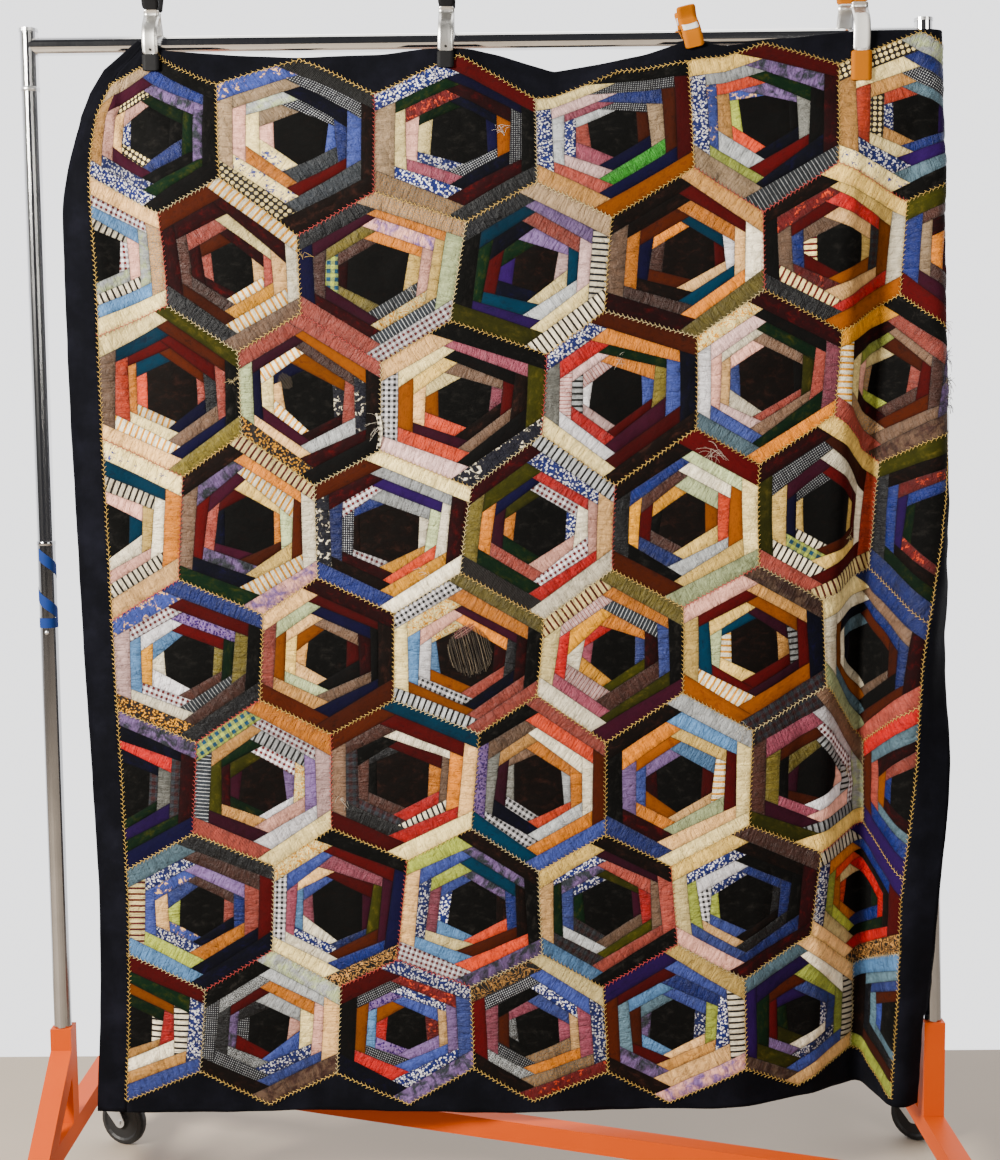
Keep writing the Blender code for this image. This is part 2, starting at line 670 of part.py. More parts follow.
def build_steel_clamp(row):
    name = row["name"]
    front = clamp_place(row)
    rear = clamp_place(row, row["rear"])
    large = row["kind"] == "large"
    jaw_low = 2.0250 if large else 2.0550
    jaw_top = 2.0750 if large else 2.0827
    first = (-0.0262, jaw_top + GAP)
    arm_front = [first] + STEEL_FRONT[1:]
    low_rear = jaw_low + 0.0063
    arm_rear = [(STEEL_REAR[0][0], low_rear), (STEEL_REAR[1][0], low_rear + 0.0087)] + STEEL_REAR[2:]
    strip(name + "_arm_front", arm_front, ARM_T, row["arm"], front, "clamp_steel")
    strip(name + "_arm_rear", arm_rear, ARM_T, row["arm"], rear, "clamp_steel")
    face_front = CLIPPED_Y - CLOTH / 2 - GAP
    face_rear = CLIPPED_Y + CLOTH / 2 + GAP
    for label, inner, outer, place in (
        ("front", face_front, face_front - PAD_T, front),
        ("rear", face_rear, face_rear + PAD_T, rear),
    ):
        middle = 0.5 * (inner + outer)
        line = [(middle, jaw_low), (middle, jaw_top)]
        strip(name + "_pad_" + label, line, PAD_T, row["pad"], place, row["grip"])
    centre = 0.5 * (STEEL_FRONT[3][0] + STEEL_REAR[5][0])
    radius = 0.5 * (STEEL_REAR[5][0] - STEEL_FRONT[3][0]) - ARM_T / 2 - GAP
    place = pin_place(row, centre, PIN_Z)
    rod(name + "_pin", radius, -row["arm"] / 2, row["arm"] / 2, place, "clamp_steel")
    for label, sign, place in (("front", -1, front), ("rear", 1, rear)):
        line = [(centre + sign * (0.0100 + y), z) for y, z in GRIP_RISE]
        strip(name + "_grip_" + label, line, GRIP_T, row["arm"] + 0.002, place, row["grip"])


def build_clamps():
    for row in CLAMPS:
        if row["kind"] == "small":
            build_small_clamp(row)
        else:
            build_steel_clamp(row)


clear_scene()
build_quilt()
build_rack()
build_clamps()
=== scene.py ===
import json
import math

import bmesh
import bpy
import numpy as np
from mathutils import Matrix, Vector

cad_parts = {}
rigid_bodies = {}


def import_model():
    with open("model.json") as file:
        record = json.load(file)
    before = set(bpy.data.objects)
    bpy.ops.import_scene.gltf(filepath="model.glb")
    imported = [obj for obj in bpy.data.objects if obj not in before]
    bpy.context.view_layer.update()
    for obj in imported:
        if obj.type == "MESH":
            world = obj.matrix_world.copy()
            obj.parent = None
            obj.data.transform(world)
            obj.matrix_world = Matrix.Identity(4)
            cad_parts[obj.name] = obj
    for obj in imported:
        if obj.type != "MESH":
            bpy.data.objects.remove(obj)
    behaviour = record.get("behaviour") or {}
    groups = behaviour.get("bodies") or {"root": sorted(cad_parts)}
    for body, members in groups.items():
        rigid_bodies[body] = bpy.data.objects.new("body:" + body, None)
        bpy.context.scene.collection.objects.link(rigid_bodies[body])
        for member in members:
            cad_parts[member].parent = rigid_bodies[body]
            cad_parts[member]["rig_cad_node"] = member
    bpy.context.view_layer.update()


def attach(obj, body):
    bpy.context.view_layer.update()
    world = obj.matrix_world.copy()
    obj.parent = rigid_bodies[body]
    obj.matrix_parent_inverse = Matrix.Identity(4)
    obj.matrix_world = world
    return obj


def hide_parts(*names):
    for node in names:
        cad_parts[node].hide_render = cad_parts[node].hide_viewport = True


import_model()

CIRCLE = 2 * math.pi


def table(columns, *rows):
    return [dict(zip(columns.split(), row)) for row in rows]


def column(rows, key):
    return np.array([row[key] for row in rows])


def lerp(a, b, t):
    return a + (b - a) * t


def ease(t):
    t = np.clip(t, 0.0, 1.0)
    return t * t * (3.0 - 2.0 * t)


def unit(vectors):
    return vectors / np.linalg.norm(vectors, axis=-1, keepdims=True)


# ---- the hang of the cloth, as in the solids: u runs across the quilt and v down it, in metres

WIDTH, HEIGHT = 1.69, 1.92
BORDER = 0.065
BLOCK = 0.26
CLOTH, BORDER_CLOTH = 0.0035, 0.003
TOP_Z = 2.11
FIELD_L, FIELD_R = BORDER, WIDTH - BORDER
CLIPPED_Y, HUNG_Y = -0.0205, -0.03
CLIPPED_TO = 2.0
RAIL_Z = 2.104
TUBE_R = 0.0159
POST_X, POST_LEAN = 0.8, 0.04
SOCKET_TOP, CAP_TOP = 0.343, 2.134
TUBE_JOINT = 1.235

# seen from above, at each height: where the left edge and the long fold are, the headings of the
# cloth between its creases in degrees, and how far from the right seam the creases are
PLAN = table(
    "z left fold bow back front side ridge trough turn round",
    (2.11, -0.745, 0.487, 0, 0, 0, 160, 0.25, 0.13, 0.08, 0.07),
    (1.99, -0.747, 0.487, 0, 0, 0, 158, 0.25, 0.13, 0.078, 0.07),
    (1.9, -0.75, 0.484, -8, 15, -6, 150, 0.25, 0.13, 0.066, 0.07),
    (1.76, -0.753, 0.48, -8, 30, -27, 140, 0.25, 0.15, 0.056, 0.07),
    (1.51, -0.752, 0.482, 2, 56, -45, 118, 0.24, 0.17, 0.022, 0.08),
    (1.28, -0.746, 0.464, 4, 55, -42, 84, 0.236, 0.16, 0.004, 0.09),
    (1.03, -0.74, 0.468, 18, 54, -62, 52, 0.237, 0.168, 0.008, 0.1),
    (0.81, -0.732, 0.456, 15, 44, -68, 10, 0.238, 0.146, 0.02, 0.08),
    (0.57, -0.726, 0.446, 10, 42, -74, -2, 0.245, 0.13, -0.004, 0.07),
    (0.36, -0.732, 0.45, 20, 34, -76, 40, 0.245, 0.128, -0.01, 0.06),
    (0.19, -0.744, 0.45, 25, 34, -76, 42, 0.245, 0.128, -0.012, 0.06),
)
FOLD_START, FOLD_AT = 0.455, 0.39
BOW_WIDTH, CREASE_WIDTH = 0.1, 0.036
LOOSE_OVER = 0.1
TUBE_CLEAR, SOCKET_CLEAR = 0.024, 0.0308

# x of the corner that is gathered into the first clamp
GATHER = table(
    "z edge field middle seam",
    (2.11, -0.606, -0.59, -0.566, -0.466),
    (2.06, -0.668, -0.64, -0.576, -0.464),
    (2.02, -0.694, -0.664, -0.582, -0.462),
    (1.98, -0.711, -0.684, -0.587, -0.46),
    (1.92, -0.726, -0.697, -0.588, -0.456),
    (1.86, -0.752, -0.695, -0.582, -0.45),
    (1.7, -0.753, -0.688, -0.56, -0.43),
)
GATHER_END, GATHER_FADE = 1.6, 0.12
GATHER_SOFT = 0.6

# drop and backward lean of the top edge
TOP_EDGE = table(
    "u sag lean",
    (0.0, 0.003, 0.0),
    (0.16, 0.017, 0.0),
    (0.26, 0.024, 0.0),
    (0.42, 0.033, 0.01),
    (0.56, 0.03, 0.007),
    (0.64, 0.023, 0.0),
    (0.675, 0.021, 0.0),
    (0.72, 0.024, 0.0),
    (0.77, 0.034, 0.008),
    (0.862, 0.061, 0.018),
    (0.94, 0.05, 0.013),
    (1.02, 0.036, 0.006),
    (1.07, 0.022, 0.0),
    (1.105, 0.013, 0.0),
    (1.16, 0.024, 0.0),
    (1.24, 0.015, 0.0),
    (1.39, 0.001, 0.0),
    (1.69, -0.002, 0.0),
)
SAG_DEPTH = 0.36

# upright folds: u, half width, and how far they stand out at the top and at the bottom
RIPPLES = (
    (0.0, 0.05, 0.01, 0.008),
    (0.13, 0.045, 0.016, 0.001),
    (0.42, 0.11, 0.003, 0.007),
    (0.79, 0.15, -0.004, -0.012),
    (1.06, 0.09, 0.005, 0.003),
)

STEP_U, STEP_Z = 0.0025, 0.01
SOFT_U, SOFT_Z = 12, 6
REACH_U, REACH_V = 0.004, 0.006
PLAN_U = np.linspace(0.0, WIDTH, int(round(WIDTH / STEP_U)) + 1)
PLAN_Z = np.linspace(TOP_Z, TOP_Z - HEIGHT, int(round(HEIGHT / STEP_Z)) + 1)


def post_x(side, z):
    if side < 0:
        return -POST_X
    return POST_X - POST_LEAN * np.maximum(z - SOCKET_TOP, 0.0) / (CAP_TOP - SOCKET_TOP)


def at_height(rows, key, z):
    return np.interp(z, column(rows, "z")[::-1], column(rows, key)[::-1])


def soften(values, count, axis):
    """Mean over the neighbours on either side."""
    values = np.moveaxis(values, axis, 0)
    padded = np.pad(values, [(count, count), (0, 0)], mode="edge")
    total = sum(padded[k:k + len(values)] for k in range(2 * count + 1))
    return np.moveaxis(total / (2 * count + 1), 0, axis)


def plan_row(z):
    row = {key: at_height(PLAN, key, z) for key in PLAN[0]}
    start = FIELD_R - FOLD_START
    scale = (row["fold"] - row["left"]) / (FIELD_R - FOLD_AT)
    x = row["left"] + PLAN_U * scale
    if z > GATHER_END:
        knots_u = [0.0] + [BORDER + BLOCK * k for k in (0.0, 0.5, 1.0, 1.5)]
        knots_x = [at_height(GATHER, key, z) for key in ("edge", "field", "middle", "seam")]
        knots_x.append(row["left"] + knots_u[-1] * scale)
        gathered = np.interp(PLAN_U, knots_u, knots_x)
        x = np.where(PLAN_U < knots_u[-1], lerp(x, gathered, ease((z - GATHER_END) / GATHER_FADE)), x)
    from_right = FIELD_R - PLAN_U
    heading = row["bow"] * ease((FOLD_START - from_right) / BOW_WIDTH)
    for place, width, before, after in (
        ("ridge", CREASE_WIDTH, "bow", "back"),
        ("trough", CREASE_WIDTH, "back", "front"),
        ("turn", row["round"], "front", "side"),
    ):
        heading = heading + (row[after] - row[before]) * ease((row[place] - from_right) / width + 0.5)
    turn = np.radians(heading)
    mean = 0.5 * (turn[1:] + turn[:-1])
    run, rise = (np.concatenate([[0.0], np.cumsum(part(mean) * STEP_U)]) for part in (np.cos, np.sin))
    first = int(round(start / STEP_U))
    x = np.where(PLAN_U > start, x[first] + run - run[first], x)
    y = np.where(PLAN_U > start, rise - rise[first], 0.0)
    loose = ease((CLIPPED_TO - z) / LOOSE_OVER)
    low = (CLIPPED_TO - z) / (CLIPPED_TO + HEIGHT - TOP_Z)
    for u, half, out_top, out_low in RIPPLES:
        depth = lerp(out_top, out_low, ease(low * 1.4))
        y = y + loose * depth * np.exp(-((PLAN_U - u) / half) ** 2)
    return x, y + lerp(CLIPPED_Y, HUNG_Y, loose)


def plan_sheets():
    """x and y of the cloth by height and u, softened and kept clear of the right upright."""
    rows = np.array([plan_row(z) for z in PLAN_Z])
    xs, ys = rows[:, 0], rows[:, 1]
    xs = np.where(PLAN_U < GATHER_SOFT, soften(xs, SOFT_U, 1), xs)
    share = ease((np.arange(len(rows)) - 2 * SOFT_Z) / SOFT_Z)[:, None]
    xs, ys = (lerp(sheet, soften(sheet, SOFT_Z, 0), share) for sheet in (xs, ys))
    post = post_x(1, PLAN_Z)[:, None]
    keep = np.where(PLAN_Z < SOCKET_TOP + 0.02, SOCKET_CLEAR, TUBE_CLEAR)[:, None]
    push = np.maximum(keep / np.maximum(np.hypot(xs - post, ys), 1e-6), 1.0)
    return post + (xs - post) * push, ys * push


PLAN_X, PLAN_Y = plan_sheets()


def rest(u, v):
    """Middle of the cloth at u, v, as an array of points."""
    i = np.clip(v / STEP_Z, 0, len(PLAN_Z) - 1.001)
    j = np.clip(u / STEP_U, 0, len(PLAN_U) - 1.001)
    i0, j0 = i.astype(int), j.astype(int)
    x, y = (
        lerp(*(lerp(sheet[k, j0], sheet[k, j0 + 1], j - j0) for k in (i0, i0 + 1)), i - i0)
        for sheet in (PLAN_X, PLAN_Y)
    )
    fade = np.clip(1.0 - v / SAG_DEPTH, 0.0, 1.0) ** 2
    sag, lean = (np.interp(u, column(TOP_EDGE, "u"), column(TOP_EDGE, key)) * fade for key in ("sag", "lean"))
    return np.stack([x, y + lean, TOP_Z - v - sag], axis=-1)


# drag lines and small creases: u and v of the middle, half length, half width, heading, height
DRAGS = (
    (0.115, 0.15, 0.13, 0.011, 68, 0.0046),
    (0.165, 0.19, 0.15, 0.012, 60, -0.004),
    (0.215, 0.15, 0.15, 0.013, 48, 0.004),
    (0.3, 0.12, 0.15, 0.013, 30, -0.003),
    (0.09, 0.33, 0.18, 0.012, 84, -0.0022),
    (0.64, 0.13, 0.11, 0.011, 96, 0.002),
    (0.7, 0.11, 0.1, 0.01, 80, -0.0018),
    (0.6, 0.22, 0.14, 0.013, 104, -0.0016),
    (1.075, 0.13, 0.09, 0.012, 92, 0.0022),
    (1.13, 0.16, 0.12, 0.012, 76, -0.002),
    (1.39, 0.2, 0.15, 0.012, 95, 0.0036),
    (1.45, 0.33, 0.22, 0.013, 88, -0.002),
    (1.3, 0.9, 0.26, 0.016, 94, 0.0024),
    (1.34, 1.33, 0.24, 0.015, 86, -0.0022),
    (1.26, 1.56, 0.18, 0.014, 98, 0.002),
    (1.5, 1.25, 0.26, 0.014, 90, 0.002),
    (1.372, 1.15, 0.75, 0.026, 90, 0.003),
    (1.48, 1.18, 0.7, 0.024, 90, -0.003),
    (1.425, 0.7, 0.11, 0.01, 60, 0.003),
    (1.5, 0.96, 0.16, 0.012, 78, 0.003),
    (1.44, 1.33, 0.06, 0.01, 20, 0.0035),
    (0.035, 0.18, 0.06, 0.009, 24, 0.0034),
    (0.42, 1.7, 0.2, 0.018, 100, -0.0016),
    (0.86, 1.74, 0.18, 0.017, 84, 0.0016),
)


def buckle(u, v):
    """Unevenness of the pieced cloth over its long folds: soft drags, and blocks that don't lie flat."""
    height = 0.0007 * np.sin(u * 47.0 + 2.1 * np.sin(v * 11.0)) * np.sin(v * 39.0 + 1.7 * np.sin(u * 9.0))
    height = height + 0.0005 * np.sin(u * 83.0 - v * 31.0 + 2.0 * np.sin(v * 17.0))
    height = height + 0.0004 * np.sin(v * 96.0 + u * 22.0 + 2.4 * np.sin(u * 21.0))
    for mid_u, mid_v, long, wide, heading, high in DRAGS:
        turn = math.radians(heading)
        x, y = u - mid_u, v - mid_v
        along = (x * math.cos(turn) + y * math.sin(turn)) / long
        across = (y * math.cos(turn) - x * math.sin(turn)) / wide
        height = height + high * np.exp(-along ** 2 - across ** 2)
    return height


def frame_at(u, v):
    """Point, outward normal and the directions across and down at u, v."""
    across = rest(np.minimum(u + REACH_U, WIDTH), v) - rest(np.maximum(u - REACH_U, 0.0), v)
    down = rest(u, np.minimum(v + REACH_V, HEIGHT)) - rest(u, np.maximum(v - REACH_V, 0.0))
    normal = unit(np.cross(down, across))
    return rest(u, v) + normal * buckle(u, v)[..., None], normal, unit(across), unit(down)


def lifted(flat, height):
    """Points at a height above the cloth, over flat points (u, v)."""
    point, normal, _, _ = frame_at(flat[..., 0], flat[..., 1])
    return point + normal * np.asarray(height)[..., None]


# ---- the seams between the blocks: how far each corner sits to the right of its even place,
# and its drop from the quilt's top edge, in millimetres, left to right

CORNERS = (
    ([0, -9, -9, -26, -34, -15, -14, 0, -9, -8, -8, 3, 0],
     [72, 12, 60, 4, 80, 14, 76, 26, 38, 4, 54, 4, 70]),
    ([0, -1, -16, -34, -31, 0, -8, -7, 5, -3, -7, 0, 0],
     [232, 298, 236, 340, 264, 320, 248, 314, 228, 308, 228, 290, 232]),
    ([0, -6, -15, -33, -23, -30, 8, -20, 12, 0, 4, 7, 0],
     [510, 458, 540, 474, 562, 490, 550, 476, 522, 442, 514, 450, 530]),
    ([0, 11, -12, -13, -25, 9, 2, 7, 16, 2, -2, -2, 0],
     [690, 758, 684, 776, 715, 782, 690, 780, 682, 746, 660, 746, 692]),
    ([0, -5, 15, -13, -6, -13, 6, 2, 0, 7, -3, -6, 0],
     [1012, 940, 1004, 940, 1004, 932, 1016, 930, 998, 926, 990, 936, 1030]),
    ([0, 13, 3, 3, -10, 18, -7, -8, 1, 2, 11, -5, 0],
     [1174, 1234, 1158, 1222, 1160, 1220, 1152, 1240, 1152, 1222, 1148, 1260, 1178]),
    ([0, -1, 20, -1, 13, 4, 1, -4, -8, 3, 12, 1, 0],
     [1466, 1400, 1462, 1394, 1452, 1392, 1472, 1408, 1468, 1394, 1452, 1412, 1490]),
    ([0, 15, 13, 12, -8, 2, 7, -8, 6, -2, -2, -18, 0],
     [1622, 1690, 1618, 1688, 1636, 1684, 1624, 1690, 1612, 1678, 1604, 1686, 1628]),
    ([0, 8, 12, 8, 16, 8, -9, 2, -11, 2, -15, -18, 0],
     [1898, 1842, 1906, 1850, 1906, 1836, 1898, 1848, 1908, 1848, 1898, 1848, 1906]),
)


def corner(line, col):
    right, drop = CORNERS[line]
    return np.array([BORDER + col * BLOCK / 2 + right[col] / 1000.0, drop[col] / 1000.0])


def zig(line, u):
    us, vs = np.array([corner(line, col) for col in range(13)]).T
    return np.interp(u, us, vs)


# ---- the scraps

PALETTE = dict(
    midnight=(26, 28, 40), night=(44, 45, 57), black=(14, 13, 15), soot=(30, 28, 29), ash=(80, 77, 74),
    ink=(26, 29, 40), umber=(46, 30, 24), rust=(110, 58, 30), cocoa=(92, 62, 54), taupe=(134, 112, 96),
    fawn=(178, 158, 134), tan=(196, 158, 106), ochre=(178, 118, 48), orange=(212, 148, 46),
    gold=(222, 172, 62), straw=(226, 200, 136), cream=(240, 224, 176), ivory=(238, 230, 212),
    white=(230, 228, 232), peach=(232, 197, 150), pink=(226, 184, 172), blush=(214, 188, 186),
    rose=(166, 96, 86), coral=(206, 98, 66), red=(184, 40, 40), ruby=(118, 24, 34), wine=(72, 18, 30),
    plum=(92, 38, 66), mauve=(152, 92, 108), lilac=(142, 120, 162), violet=(78, 38, 118),
    indigo=(38, 30, 84), navy=(22, 25, 52), royal=(34, 58, 124), iris=(84, 98, 158), sky=(112, 148, 184),
    teal=(20, 88, 112), steel=(112, 134, 146), grey=(138, 138, 134), silver=(184, 186, 188),
    slate=(66, 72, 80), sage=(196, 204, 168), lime=(176, 184, 104), olive=(128, 118, 62),
    moss=(92, 92, 34), forest=(26, 66, 42), jade=(78, 158, 66),
)

# name:first dye:second dye of each cloth of a kind; the name alone is the first dye too; on velvet the second
# dye is the colour of its painted sheen
SCRAPS = dict(
    velvet="black:ash soot:umber umber:cocoa rust:umber wine:ruby ruby:wine plum:wine violet:indigo "
           "indigo:navy navy:indigo moss:olive forest:moss teal:navy ochre:rust",
    silk="ink:slate cocoa:umber taupe:cocoa fawn:taupe tan:ochre orange:ochre gold:ochre straw:tan "
         "cream:straw ivory:cream white:silver peach:tan pink:rose blush:mauve rose:ruby coral:ruby "
         "red:ruby mauve:plum lilac:violet royal:navy iris:royal sky:steel steel:slate slate:ink "
         "grey:slate silver:grey sage:olive lime:olive olive:moss jade:forest",
    rib="rib:soot:slate cord:umber:cocoa brick:rose:ruby",
    print="delft:white:royal pansy:violet:lilac calico:gold:umber",
    floral="floral:cream:iris bluebell:iris:peach roses:ruby:coral posy:navy:ivory",
    brocade="brocade:cream:gold paisley:soot:tan",
    dots="dots:umber:cream",
    pindots="pindots:navy:silver",
    marble="marble:slate:lilac stone:cocoa:taupe spray:silver:sage blossom:pink:lilac",
    tweed="tweed:tan:grey nubs:soot:silver",
    check="gingham:white:ruby check:white:soot",
    plaid="tartan:teal:lime plaid:wine:slate",
    stripe="ticking:ivory:gold candy:cream:ruby bars:silver:soot zebra:ivory:umber awning:ivory:navy",
    pinstripe="pinstripe:slate:silver blush_line:blush:rose",
)
KINDS = list(SCRAPS)
CLOTHS = {}
for kind, names in SCRAPS.items():
    for entry in names.split():
        parts = entry.split(":")
        CLOTHS[parts[0]] = (kind, parts[-2], parts[-1])

# The blocks, row by row. Each names the scraps of its six outer logs (upper left, left, lower left,
# upper right, right, lower right), those that its inner logs are drawn from on the left and on the
# right, and its centre where that isn't black.
BLOCKS = (
    ("fawn tan delft black black soot | dots delft plum pink peach | royal forest marble black",
     "bluebell fawn dots rib umber umber | spray pink fawn cream orange floral | navy ruby royal iris "
       "pindots slate | soot",
     "delft fawn tweed ruby black ink | cream forest mauve delft pink roses | navy ochre wine pindots "
       "indigo",
     "cream delft tan black ruby ochre | mauve rose silver delft blush | rust jade pindots indigo royal "
       "fawn",
     "straw delft fawn ruby wine pinstripe | bluebell silver tan coral lime | grey soot navy marble forest "
       "ruby | soot",
     "dots tan floral spray indigo black | delft coral cream tan dots | steel royal violet pindots"),
    ("sky sky sky peach tweed cream | black | sky spray zebra pink gingham",
     "rust wine ink ticking ivory taupe | cocoa rose rust wine | peach ticking gold cream rose wine",
     "ink indigo rose tweed sage gingham | wine olive cocoa plum tartan | orange brocade pink blossom "
       "straw pinstripe | soot",
     "ink black moss fawn awning zebra | ruby forest violet teal navy | lilac blush silver rose teal cream "
       "| umber",
     "umber taupe wine tan ivory olive | umber orange rust cocoa indigo | ruby orange teal peach white | "
       "umber",
     "umber soot ink straw ivory ochre | taupe royal candy ruby roses | ochre straw red peach plaid",
     "moss royal ruby black black black | wine orange plum fawn cocoa | black"),
    ("cream taupe peach moss black olive | ruby orange teal ticking cream coral | taupe ink rust ruby rose "
       "indigo | umber",
     "rose sage calico rose umber soot | ticking cream indigo peach plum | posy rose wine cocoa ochre "
       "silver",
     "peach check blush black moss posy | peach coral straw cream ochre plum | taupe mauve soot ruby umber",
     "delft grey cream rust navy umber | blush_line white red bars blush | ruby olive orange forest plum "
       "iris | soot",
     "brocade white steel wine mauve orange | iris ivory peach pink blush | moss soot taupe forest rose | "
       "umber",
     "gold ticking rose black marble stone | wine cream lime pink tweed | ruby rust taupe rose cocoa"),
    ("sky sky sky floral orange peach | black | teal zebra straw pink ivory",
     "umber taupe forest candy ivory blossom | rose navy ruby marble plum | rust straw orange ticking sage "
       "| soot",
     "rust posy royal cream wine ivory | royal pindots gingham umber wine | sage coral silver ivory gold "
       "violet | umber",
     "wine olive cord bars peach ivory | forest orange plum moss indigo rose | ivory delft gingham pink "
       "red",
     "umber ink rust ruby cream sage | black royal ruby gold cocoa | straw sage coral ivory silver ochre | "
       "umber",
     "wine moss rose straw coral candy | tartan indigo zebra plum pindots straw | straw rust ruby ivory | "
       "soot",
     "moss ink royal black black black | umber royal violet forest roses | black"),
    ("bluebell blush calico royal black ink | ivory gold gingham white sky | pinstripe olive ruby cocoa "
       "pansy forest",
     "peach rose rust wine umber rust | straw sage peach ochre tan | soot ruby taupe indigo wine",
     "check cream bars olive black rose | white pink brocade sky ochre check | rose wine ink navy orange "
       "plum | umber",
     "candy cream ivory olive black plum | blush_line gold mauve red ivory | orange wine cocoa iris moss "
       "pinstripe",
     "pink straw ochre stone navy plaid | ruby teal ticking straw sage | plum tan ochre ruby bars | umber",
     "cream ivory sage royal wine rose | ochre steel ivory navy | soot rust royal taupe"),
    ("sky sky sky marble wine indigo | black | violet grey plaid navy forest red",
     "tartan pinstripe brick orange blush cream | forest tan wine plum moss | brocade pink white gingham "
       "bars lilac | umber",
     "rust taupe ruby teal peach cream | cocoa ink plaid black | ruby orange taupe red ivory awning | "
       "umber",
     "black pansy teal rose rust iris | taupe tan grey navy plum check | ivory coral orange silver | umber",
     "umber black royal silver cream cream | wine ochre lilac iris orange | peach sage sky ticking ruby "
       "straw",
     "plaid cocoa moss taupe spray straw | rust black plum olive mauve | gingham white bars pink | soot",
     "red rust violet black black black | rose royal ochre steel wine | black"),
    ("steel candy sky ink ruby navy | iris peach lime delft bluebell | navy lilac royal orange cocoa rose",
     "brocade check cream black indigo paisley | mauve delft iris sky ivory peach | mauve ruby royal moss "
       "plum rust | soot",
     "lime peach gingham umber black marble | lime mauve delft cream iris sky | teal marble coral umber "
       "rust royal",
     "straw peach sky umber rose black | delft silver iris plaid forest marble | rose taupe plum moss red",
     "straw cream pink cocoa wine wine | delft lime check peach iris white | black umber royal ink",
     "zebra delft peach violet ruby paisley | lime orange cream coral | red forest royal umber"),
    ("sky sky sky ruby delft iris | black | forest ochre red tan ivory zebra",
     "black pindots umber spray peach stone | marble pindots nubs ruby ink | silver pink delft orange "
       "cream iris",
     "ruby soot navy delft iris marble | pansy ochre sky pindots red | lilac iris roses peach delft",
     "paisley ruby umber cream delft roses | nubs black rust pindots mauve | tweed mauve delft peach iris "
       "orange",
     "violet rust umber straw zebra blossom | marble rust steel ruby sky | royal iris peach delft tan lime",
     "steel violet stone peach zebra peach | ruby rust lilac moss forest violet | lime ivory iris delft",
     "sky umber lime black black black | rust steel ink iris | black"),
)

DEPTH, FULLNESS = 1.5, 1.05
HEART = 0.335
RINGS = (HEART, 0.475, 0.63, 0.79, 1.0)
LIFT = CLOTH / 2 + 0.0005
# sides and corners go round clockwise from the top, and side 0 is the upper right one; when each
# side is sewn on, the later log covering the end of its neighbour, and where a block names its log
SEWN = (3, 0, 3, 2, 1, 2)
OUTER_ORDER = (3, 4, 5, 2, 1, 0)
LOG_STEP = 0.0065
LOG_EDGE = 0.0016
OFF_CENTRE, HEART_VARIES, WOBBLE, SHIFT = 0.006, 0.05, 0.026, 0.0028


def dyed(name, shade=1.0):
    """Base colour of a named dye, a little deeper and fuller than its listed value, for soft light."""
    values = np.clip(np.array(PALETTE[name], float) / 255.0 * shade, 0.0, 1.0)
    linear = np.where(values <= 0.04045, values / 12.92, ((values + 0.055) / 1.055) ** 2.4)
    linear = 0.97 * linear ** DEPTH
    grey = linear @ np.array([0.3, 0.59, 0.11])
    return tuple(np.clip(lerp(grey, linear, FULLNESS), 0.0004, 0.95)) + (1.0,)


# ---- mesh helpers

def link_object(name, data):
    thing = bpy.data.objects.new(name, data)
    bpy.context.scene.collection.objects.link(thing)
    return thing


def new_object(name, verts, faces, mats, smooth=True):
    mesh = bpy.data.meshes.new(name)
    mesh.from_pydata([tuple(v) for v in verts], [], faces)
    mesh.polygons.foreach_set("use_smooth", [smooth] * len(mesh.polygons))
    for mat in mats:
        mesh.materials.append(mat)
    return link_object(name, mesh)


def quads_of(index):
    """Faces of a grid of vertex numbers."""
    corners = [index[:-1, :-1], index[1:, :-1], index[1:, 1:], index[:-1, 1:]]
    return np.stack(corners, axis=-1).reshape(-1, 4)


def set_uv(mesh, uv):
    mesh.uv_layers.new(name="log").data.foreach_set("uv", uv.ravel())


class Heap:
    """Grows one mesh out of many small grids and tubes."""

    def __init__(self):
        self.count = 0
        self.parts = []

    def grid(self, points, uv, mat, tint, tint2, depth=None):
        index = np.arange(points[..., 0].size).reshape(points.shape[:2])
        quads = quads_of(index)
        local = quads.reshape(-1)
        # depth scales the colours at each vertex: the painted seam shade of a log
        shades = np.ones((len(local), 1)) if depth is None else depth.reshape(-1)[local][:, None]
        tints = [np.hstack([np.array(value[:3]) * shades, np.ones_like(shades)]) for value in (tint, tint2)]
        slots, uv = np.full(len(quads), mat), uv.reshape(-1, 2)[local]
        self.parts.append((points.reshape(-1, 3), quads + self.count, slots, *tints, uv))
        self.count += index.size

    def build(self, name, mats):
        verts, quads, slots, tint, tint2, uv = (np.concatenate(part) for part in zip(*self.parts))
        thing = new_object(name, verts, quads.tolist(), mats)
        mesh = thing.data
        mesh.polygons.foreach_set("material_index", slots)
        for key, values in (("tint", tint), ("tint2", tint2)):
            mesh.color_attributes.new(key, "FLOAT_COLOR", "CORNER").data.foreach_set("color", values.ravel())
        set_uv(mesh, uv)
        mesh.validate()
        return thing


# ---- materials of cloth and thread

